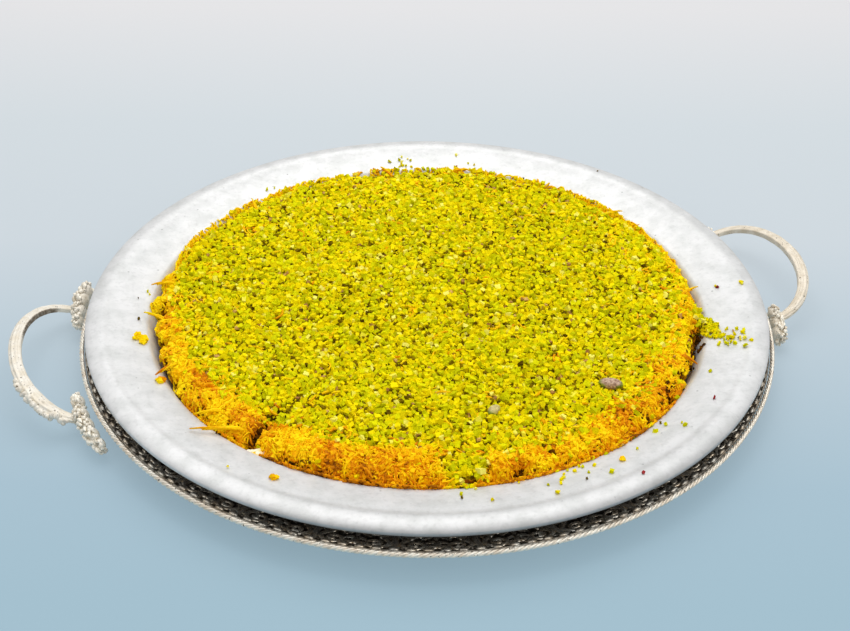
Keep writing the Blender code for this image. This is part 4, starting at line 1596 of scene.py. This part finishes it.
        # painted shade: the beads under the rope are darkened as the shade under the platter's lip
        shape.add(points, faces, recess=np.full(len(points), 0.62))
        for at, size in self.rails:
            radius, height = self.slope(at)
            ring = polar(radius, spaced_round(self.rail_steps), height)
            points, faces = tubes(ring[None], np.full((1, self.rail_steps), size), 6, closed=True)
            # painted shade: the rails are darkened as the shade under the platter
            shape.add(points, faces, recess=np.full(len(points), 0.8))

    def make(self) -> Piece:
        """Makes the whole gallery and returns it."""
        motif = self.motif()
        points, faces = repeat_round(np.concatenate(motif.points), motif.faces, self.cells)
        shape = Shape()
        recess = np.tile(np.concatenate(motif.tones["recess"]), self.cells)
        shape.add(points, faces, recess=recess)
        self.ground(shape)
        self.beads(shape)
        bright, warm, tarnish = linear(255, 250, 236), linear(246, 226, 196), linear(48, 34, 18)
        finish = WarmSilver("silver of the gallery", bright, warm, tarnish, 0.18, 0.78).make()
        return place(shape.piece("gallery_openwork", finish, True), "tray_silver", "gallery")


@dataclass
class RopeRim:
    """The rope of twisted strands that runs round the tray."""

    radius: float = 203.0 * MM
    height: float = 15.7 * MM
    strand: float = 0.8 * MM
    offset: float = 0.68 * MM
    strands: int = 3
    turns: int = 130
    steps: int = 1560
    sides: int = 8

    def make(self) -> Piece:
        """Makes the rope and returns it."""
        bearing = spaced_round(self.steps)
        middle = np.repeat(polar(self.radius, bearing, self.height), self.sides, axis=0)
        shape = Shape()
        for start in spaced_round(self.strands):
            twist = bearing * self.turns + start
            radius = self.radius + self.offset * np.cos(twist)
            path = polar(radius, bearing, self.height + self.offset * np.sin(twist))
            radii = np.full((1, self.steps), self.strand)
            points, faces = tubes(path[None], radii, self.sides, closed=True)
            out = np.hypot(points[:, 0] - middle[:, 0], points[:, 1] - middle[:, 1])
            away = np.hypot(out, points[:, 2] - self.height)
            shape.add(points, faces, recess=1 - smooth_step((away / MM - 0.5) / 0.9))
        bright, warm = linear(252, 245, 230), linear(230, 215, 194)
        finish = WarmSilver(
            "silver of the rope", bright, warm, roughness=0.34, metallic=0.55, spotted=0.9
        ).make()
        return place(shape.piece("rope_strands", finish, True), "tray_silver", "rope_rim")


# shift along the rope, height and length of each leaf, at one root and then at the other
RIGHT_SPRAYS = (
    ((0.0, 10.6, 12.0), (-6.0, 11.6, 10.0)),
    ((5.5, 10.4, 12.6), (14.0, 8.6, 13.6), (0.5, 14.2, 9.6)),
)
LEFT_SPRAYS = (
    ((-8.7, 13.4, 10.4), (0.5, 10.6, 13.0), (9.5, 10.4, 13.0), (18.0, 9.8, 12.6), (25.6, 8.8, 9.6)),
    ((11.4, 15.4, 11.8), (3.8, 14.2, 13.2), (-5.0, 12.0, 12.4), (-13.4, 10.8, 9.6)),
)


@dataclass
class Handle:
    """One cast handle: a ridged bow with a spray of leaves at each of its roots."""

    node: str
    bearing: float
    knobby: bool
    half_width: float
    reach: float
    sprays: tuple[Rows, ...]
    squareness: float = 0.9
    root_x: float = 206.9 * MM
    root_height: float = 9.6 * MM
    top_height: float = 24.2 * MM
    width: float = 9.2 * MM
    depth: float = 5.8 * MM
    root_share: float = 0.76
    swell: float = 0.0
    swell_turn: float = 0.55
    swell_width: float = 0.4
    painted_inner_shade: float = 0.0
    steps: int = 90
    sides: int = 48
    ridges: int = 9
    ridge_depth: float = 0.07
    lean: float = 14.0
    leaf_inner: float = 205.5
    leaf_thickness: float = 0.68
    leaf_height: float = 0.86
    core_share: float = 0.84
    core_shade: float = 0.24
    leaflet_shades: tuple[float, float] = (-0.34, 0.15)
    leaflets: int = 32
    leaflet: float = 1.05 * MM
    knob_count: int = 26
    seed: int = 51
    bright: Colour = linear(232, 222, 204)
    warm: Colour = linear(212, 199, 176)

    def centre(self, turn: Array) -> Array:
        """Points on the bow's centre line, from one root at turn 0 to the other at pi."""
        sine = np.clip(np.sin(turn), 0, 1)
        x = self.root_x + self.reach * sine**self.squareness
        y = self.half_width * np.cos(turn)
        z = self.root_height + (self.top_height - self.root_height) * sine
        return np.stack((x, y, z), axis=-1)

    def bow(self, shape: Shape) -> None:
        """Adds the bow: flat inside, ridged along its outside and a little uneven."""
        turn = math.pi * np.linspace(0.0, 1.0, self.steps)
        line = self.centre(turn)
        along = unit(np.gradient(line, axis=0))
        side = unit(np.cross(along, (0.0, 0.0, 1.0)))
        over = np.cross(side, along)
        share = self.root_share + (1 - self.root_share) * np.sin(turn)
        share = share + self.swell * np.exp(-(((turn - self.swell_turn) / self.swell_width) ** 2))
        angle = spaced_round(self.sides, 0.5)
        across = np.minimum(np.cos(angle), 0.84) * 0.93
        ridge = self.ridge_depth * np.cos(self.ridges * angle) * (np.cos(angle) < 0.5)
        size = share[:, None] * (1 + ridge[None, :] - self.ridge_depth)
        ring = (
            side[:, None, :] * (self.width / 2 * size * across)[..., None]
            + over[:, None, :] * (self.depth / 2 * size * np.sin(angle))[..., None]
        )
        points = line[:, None, :] + ring
        flat = points.reshape(-1, 3)
        lump = noise_at(flat, 5 * MM, 3.3) + 0.5 * noise_at(flat, 2 * MM, 1.1)
        points = points + unit(ring) * (0.16 * MM * (lump - 1)).reshape(self.steps, self.sides, 1)
        # painted shade: the inner face of the bow's far arm is darkened as the shadow on it, and the
        # ridges' grooves hold tarnish
        inside = smooth_step((np.cos(angle) - 0.6) / 0.2)[None, :]
        shaded = smooth_step((turn - 1.55) / 0.35) * smooth_step((2.95 - turn) / 0.25) * self.painted_inner_shade
        groove = np.clip(0.5 - ridge / (2 * self.ridge_depth), 0, 1)[None, :]
        recess = inside * shaded[:, None] + 0.3 * groove * (1 - inside)
        shape.add(points, [grid_faces(self.steps, self.sides, False, True)], recess=recess)

    def bud(self, shape: Shape, centre: Array, size: Array, turn: Array, recess: float) -> None:
        """Adds one smooth cast bud.

        Args:
            shape: Shape that it joins.
            centre: Its middle.
            size: Its thickness, length and height.
            turn: Matrix that turns it into place.
            recess: How dark it lies.
        """
        rows, sides = 11, 16
        points = (unit_ball(rows, sides, 0.02) * size / 2) @ turn.T + centre
        shape.add(points, [grid_faces(rows, sides, False, True)], recess=np.full(rows * sides, recess))

    def leaf(
        self, shape: Shape, rng: Draws, centre: Array, size: Array, turn: Array, heading: float
    ) -> None:
        """Adds one cast leaf: small pointed leaflets that overlap over a core that is painted a little
        darker as shade between them.

        Args:
            shape: Shape that it joins.
            rng: Source of the random draws.
            centre: Its middle.
            size: Its thickness, length and height.
            turn: Matrix that turns it into place.
            heading: How far its tip leans along the rope, in radians.
        """
        # the core is painted a little darker as shade between the leaflets
        self.bud(shape, centre, size * self.core_share, turn, self.core_shade)
        count, steps = self.leaflets, 8
        index = np.arange(count)
        out = 1 - (index + 0.5) / count * 1.35
        ring = np.sqrt(1 - out**2)
        around = index * 2.4 + rng.uniform(-0.4, 0.4, count)
        away = np.stack((out, ring * np.sin(around), ring * np.cos(around)), axis=-1)
        lean = np.array((0.0, math.sin(heading), math.cos(heading)))
        lean = lean - away * (away @ lean)[:, None] + rng.normal(0, 0.16, (count, 3))
        share = np.linspace(0, 1, steps)[None, :, None]
        start = away[:, None, :] * 0.72 - 0.25 * lean[:, None, :]
        tip = away[:, None, :] * rng.uniform(0.86, 1.08, (count, 1, 1)) + 0.5 * lean[:, None, :]
        paths = start + (tip - start) * share + 0.24 * away[:, None, :] * np.sin(math.pi * share)
        paths = (paths * size / 2) @ turn.T + centre
        radii = self.leaflet * np.interp(share[..., 0], (0, 0.35, 0.7, 1), (0.5, 1.15, 0.85, 0.12))
        radii = radii * rng.uniform(0.75, 1.25, (count, 1))
        points, faces = tubes(paths, radii, 7)
        shade = rng.uniform(*self.leaflet_shades, count)
        recess = np.concatenate((np.repeat(shade, steps * 7), shade, shade))
        shape.add(points, faces, recess=recess)

    def add_sprays(self, shape: Shape, rng: Draws) -> None:
        """Adds the leaves of both roots, with small buds between them."""
        root = math.atan2(self.half_width, self.root_x)
        for end, spray in zip((1, -1), self.sprays):
            for offset, height, length in spray:
                thickness = self.leaf_thickness * length
                radius = self.leaf_inner + thickness / 2
                bearing = end * (root + offset / radius)
                middle = polar(radius * MM, bearing, height * MM)
                turn = Matrix.Rotation(bearing, 3, "Z") @ Matrix.Rotation(math.radians(self.lean), 3, "Y")
                size = np.array([thickness, length, self.leaf_height * length]) * MM
                self.leaf(shape, rng, middle, size, np.array(turn), end * offset / 14)
                for _ in range(3):
                    swing = rng.uniform(-1.3, 1.3)
                    side = bearing + end * 0.46 * length * math.sin(swing) / radius
                    lift = height + 0.40 * self.leaf_height * length * math.cos(swing)
                    spot = polar((radius + 0.2 * thickness) * MM, side, lift * MM)
                    spin = spun(rng.uniform(0, math.pi))
                    self.bud(shape, spot, rng.uniform(1.4, 2.6, 3) * MM, spin, rng.uniform(0.0, 0.8))

    def knobs(self, shape: Shape, rng: Draws) -> None:
        """Adds the small cast knobs along the outside of one arm."""
        for index in range(self.knob_count):
            turn = 0.10 + 0.95 * index / self.knob_count
            middle = self.centre(np.array([turn]))[0]
            out = rng.uniform(3.8, 4.9) * MM
            swing = rng.uniform(-0.3, 0.6)
            heading = math.atan2(middle[1], middle[0] - self.root_x + 14 * MM)
            shift = np.array([
                out * math.cos(swing) * math.cos(heading),
                out * math.cos(swing) * math.sin(heading),
                out * math.sin(swing),
            ])
            spin = spun(rng.uniform(0, math.pi))
            self.bud(shape, middle + shift, rng.uniform(2.6, 4.2, 3) * MM, spin, rng.uniform(0.0, 0.4))

    def make(self) -> Piece:
        """Makes the handle and returns it."""
        rng = np.random.default_rng(self.seed)
        shape = Shape()
        self.bow(shape)
        self.add_sprays(shape, rng)
        if self.knobby:
            self.knobs(shape, rng)
        spin = spun(math.radians(self.bearing))
        shape.points = [block @ spin.T for block in shape.points]
        finish = WarmSilver(
            f"silver of {self.node}", self.bright, self.warm, linear(92, 74, 50), 0.5, 0.12, spotted=0.6
        ).make()
        return place(shape.piece(f"{self.node}_cast", finish, True), "tray_silver", self.node)


@dataclass
class Kernel:
    """One whole pistachio kernel that lies on the ground nuts."""

    node: str
    length: float
    width: float
    heading: float
    seed: float
    skin: KernelSkin = KernelSkin()

    def make(self) -> Piece:
        """Makes the kernel in the place of its solid and returns it."""
        low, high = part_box(self.node)
        middle = (np.array(low) + np.array(high)) / 2
        tall = high.z - low.z
        rows, sides = 34, 40
        across, over, along = np.moveaxis(unit_ball(rows, sides, 0.01), -1, 0)
        across = across * (1 - 0.2 * along**2)
        seam = np.exp(-((across / 0.2) ** 2)) * (over > 0)
        over = over * (1 - 0.16 * seam)
        ball = np.stack((along * self.length, across * self.width, over * tall), axis=-1) / 2
        wrinkle = noise_at(ball.reshape(-1, 3), 1.8 * MM, self.seed).reshape(rows, sides, 1)
        ball = ball * (1 + 0.05 * wrinkle)
        spin = spun(math.radians(self.heading))
        # painted shade: dark green is laid on the kernel's lower side as its shadow, besides the green
        # flesh at its ends
        low_side = smooth_step((-0.8 * across - 0.5 * over - 0.15) / 0.5)
        flesh = smooth_step((np.abs(along) - 0.62) / 0.35 + low_side + 0.3 * wrinkle[..., 0])
        shape = Shape()
        shape.add(ball @ spin.T + middle, [grid_faces(rows, sides, False, True)[:, ::-1]], flesh=flesh)
        return place(shape.piece(f"{self.node}_whole", self.skin.make(), True), "pistachio", self.node)


@dataclass
class SmallBits:
    """The pale dab of filling in the groove and the dark crumbs on the platter."""

    form: CakeForm
    dab: tuple[float, float] = (-116.6, -111.2)
    dab_size: tuple[float, float, float] = (13.5, 7.0, 4.6)
    dab_heading: float = -16.0
    dab_lift: float = 2.2 * MM
    red_spots: Rows = ((67.3, -179.4), (127.0, -130.0), (173.6, -28.6))
    red_size: float = 1.9 * MM
    red_height: float = 0.6 * MM
    # X, Y, spread and number of the dark crumbs of each heap; these lie in the pits and stand in for the
    # shade there
    burnt_and_shade: tuple[Heap, ...] = (
        (145.5, -66.5, 2.6, 34), (141.5, -77.0, 2.4, 14), (-156.0, 21.0, 1.7, 12), (-156.5, -8.0, 2.0, 16),
        (-134.0, -94.0, 1.6, 6), (-101.5, -85.5, 1.2, 5), (-106.0, -90.5, 1.2, 5), (-110.0, -95.0, 1.4, 6),
        (-114.5, -99.5, 1.6, 8), (29.4, -147.0, 1.4, 6), (-7.0, -155.5, 1.4, 5), (11.0, -156.5, 1.8, 7),
        (106.5, -116.0, 2.0, 6), (131.5, -91.0, 2.0, 7),
    )
    # first and last bearing, radius, spread and number of those along the edge
    dark_edges: tuple[tuple[float, float, float, float, int], ...] = (
        (-136.0, -97.0, 160.5, 1.2, 46),
        (-88.0, -60.0, 159.5, 1.5, 20),
        (-60.0, -24.0, 156.5, 2.6, 90),
        (-178.0, -140.0, 157.5, 2.0, 26),
    )
    burnt_and_shade_size: float = 1.9 * MM
    looseness: float = 0.6
    rest_height: float = 0.7 * MM
    seed: int = 77

    def make_dab(self) -> Piece:
        """Makes the lumpy dab and returns it."""
        rows, sides = 24, 32
        ball = unit_ball(rows, sides, 0.02) * np.array(self.dab_size) / 2 * MM
        flat = ball.reshape(-1, 3)
        lump = noise_at(flat, 2.4 * MM, 0.7) + 0.5 * noise_at(flat, 1.1 * MM, 2.9)
        ball = ball * (1 + 0.32 * lump.reshape(rows, sides, 1))
        spin = spun(math.radians(self.dab_heading))
        x, y = self.dab[0] * MM, self.dab[1] * MM
        ground = max(self.form.height(np.array([x]), np.array([y]))[0], self.form.seat(math.hypot(x, y)))
        middle = np.array([x, y, ground + self.dab_lift])
        shape = Shape()
        shape.add(ball @ spin.T + middle, [grid_faces(rows, sides, False, True)])
        return place(shape.piece("cream_dab", CreamDab().make(), True), "kunafa")

    def make_red(self) -> Piece:
        """Makes the few red crumbs on the platter and returns them."""
        spots = np.array(self.red_spots) * MM
        height = self.form.seat(np.hypot(spots[:, 0], spots[:, 1])) + self.red_height
        shape = Shape()
        rng = np.random.default_rng(self.seed)
        add_chunks(shape, rng, np.column_stack((spots, height)), np.full(len(spots), self.red_size))
        finish = GroundNut("red crumbs", linear(120, 30, 30), linear(170, 60, 60)).make()
        return place(shape.piece("red_crumbs", finish, False), "kunafa")

    def make_burnt_and_shade(self) -> Piece:
        """Makes the dark crumbs in the pits and along the edge, and returns them; those in the pits are
        painted shade.
        """
        rng = np.random.default_rng(self.seed + 1)
        blocks = [heap(rng, spot, self.looseness) for spot in self.burnt_and_shade]
        for first, last, radius, spread, count in self.dark_edges:
            reach = (radius + rng.normal(0, self.looseness, count) * spread) * MM
            blocks.append(polar(reach, np.radians(rng.uniform(first, last, count)), 0)[:, :2])
        flat = np.concatenate(blocks)
        reach = np.hypot(flat[:, 0], flat[:, 1])
        seat = self.form.seat(reach) + self.rest_height
        ground = np.maximum(self.form.height(flat[:, 0], flat[:, 1]) + 0.9 * MM, seat)
        ground = np.where(reach > 161.5 * MM, seat, ground)
        shape = Shape()
        sizes = self.burnt_and_shade_size * rng.uniform(0.6, 1.15, len(flat))
        add_chunks(shape, rng, np.column_stack((flat, ground)), sizes)
        # the heaps in the pits are painted shade
        finish = GroundNut("burnt crumbs", linear(44, 26, 0), linear(110, 66, 0)).make()
        return place(shape.piece("burnt_and_shade_crumbs", finish, False), "kunafa")


@dataclass(frozen=True)
class SoftLight:
    """One large soft lamp that looks at the middle of the tray."""

    name: str
    at: Place
    width: float
    power: float
    colour: Colour = (1.0, 1.0, 1.0)

    def make(self) -> None:
        """Hangs the lamp."""
        lamp = bpy.data.lights.new(self.name, "AREA")
        lamp.shape = "SQUARE"
        lamp.size = self.width
        lamp.energy = self.power
        lamp.color = self.colour
        made = bpy.data.objects.new(self.name, lamp)
        made.location = self.at
        made.rotation_euler = (-Vector(self.at)).to_track_quat("-Z", "Y").to_euler()
        bpy.context.scene.collection.objects.link(made)


@dataclass
class Studio:
    """The pale floor, the soft light and the camera."""

    eye: Place = (-153.0 * MM, -625.4 * MM, 461.7 * MM)
    target: Place = (-6.1 * MM, -19.6 * MM, 27.0 * MM)
    lens: float = 55.12
    sensor: float = 36.0
    roll: float = 0.0087
    floor_half: float = 4.0
    floor_steps: int = 9
    # share of the way from the horizon to overhead, and brightness there
    sky: Rows = ((0.0, 0.30), (0.18, 0.42), (0.5, 0.95), (1.0, 1.05))
    sky_strength: float = 0.77

    def make_floor(self) -> None:
        """Lays the floor."""
        steps = self.floor_steps
        side = np.linspace(-self.floor_half, self.floor_half, steps)
        shape = Shape()
        flat = on_ground(*np.meshgrid(side, side, indexing="ij"))
        shape.add(flat, [grid_faces(steps, steps, False, False)[:, ::-1]])
        shape.piece("studio_floor", PaleFloor().make(), False)

    def make_world(self) -> None:
        """Surrounds everything with soft light that is brightest overhead."""
        world = bpy.data.worlds.new("studio")
        world.use_nodes = True
        bpy.context.scene.world = world
        tree = world.node_tree
        coordinates = tree.nodes.new("ShaderNodeTexCoord")
        split = tree.nodes.new("ShaderNodeSeparateXYZ")
        tree.links.new(coordinates.outputs["Generated"], split.inputs["Vector"])
        ramp = tree.nodes.new("ShaderNodeValToRGB")
        set_stops(ramp.color_ramp, [(at, (level, level, level * 1.01)) for at, level in self.sky])
        tree.links.new(split.outputs["Z"], ramp.inputs["Fac"])
        back = tree.nodes["Background"]
        back.inputs["Strength"].default_value = self.sky_strength
        tree.links.new(ramp.outputs["Color"], back.inputs["Color"])

    def make_camera(self) -> None:
        """Sets the camera where the photograph was taken from."""
        forward = (Vector(self.target) - Vector(self.eye)).normalized()
        right = forward.cross(Vector((0, 0, 1))).normalized()
        over = right.cross(forward)
        turn = Matrix((right, over, -forward)).transposed() @ Matrix.Rotation(self.roll, 3, "Z")
        lens = bpy.data.cameras.new("camera")
        lens.lens = self.lens
        lens.sensor_width = self.sensor
        lens.clip_start = 0.01
        made = bpy.data.objects.new("camera", lens)
        made.matrix_world = Matrix.Translation(self.eye) @ turn.to_4x4()
        bpy.context.scene.collection.objects.link(made)
        bpy.context.scene.camera = made

    def make(self) -> None:
        """Sets the whole studio up."""
        self.make_floor()
        self.make_world()
        SoftLight("overhead", (0.12, 0.50, 1.4), 1.5, 13.5).make()
        SoftLight("front", (0.7, -1.3, 1.0), 1.5, 4.4).make()
        self.make_camera()
        view = bpy.context.scene.view_settings
        view.view_transform = "Standard"


def main() -> None:
    """Builds every piece of the filled platter on its tray, then the studio."""
    logging.basicConfig(level=logging.INFO, format="%(message)s")
    form = CakeForm()
    TrayFloor().make()
    Gallery().make()
    RopeRim().make()
    Handle("handle_right", 0.8, False, 49.0 * MM, 30.2 * MM, RIGHT_SPRAYS).make()
    # painted light: the left handle's silver is lighter than the right's, though both are the same metal
    Handle(
        "handle_left", 178.9, True, 53.0 * MM, 31.4 * MM, LEFT_SPRAYS, swell=0.26, painted_inner_shade=0.95,
        bright=linear(238, 232, 219), warm=linear(224, 214, 194),
    ).make()
    Platter().make()
    KunafaBody(form).make()
    PastryThreads(form).make()
    NutLayer(form).make()
    bits = SmallBits(form)
    bits.make_dab()
    bits.make_red()
    bits.make_burnt_and_shade()
    Kernel("pistachio_kernel_1", 13.5 * MM, 6.8 * MM, -24.0, 1.5).make()
    # the second kernel's near-black green is painted shade on its lower side
    pale = KernelSkin("pale pistachio skin", linear(214, 202, 132), linear(168, 146, 84), linear(34, 52, 0))
    Kernel("pistachio_kernel_2", 8.6 * MM, 5.6 * MM, 35.0, 4.5, pale).make()
    Studio().make()


if __name__ == "__main__":
    main()
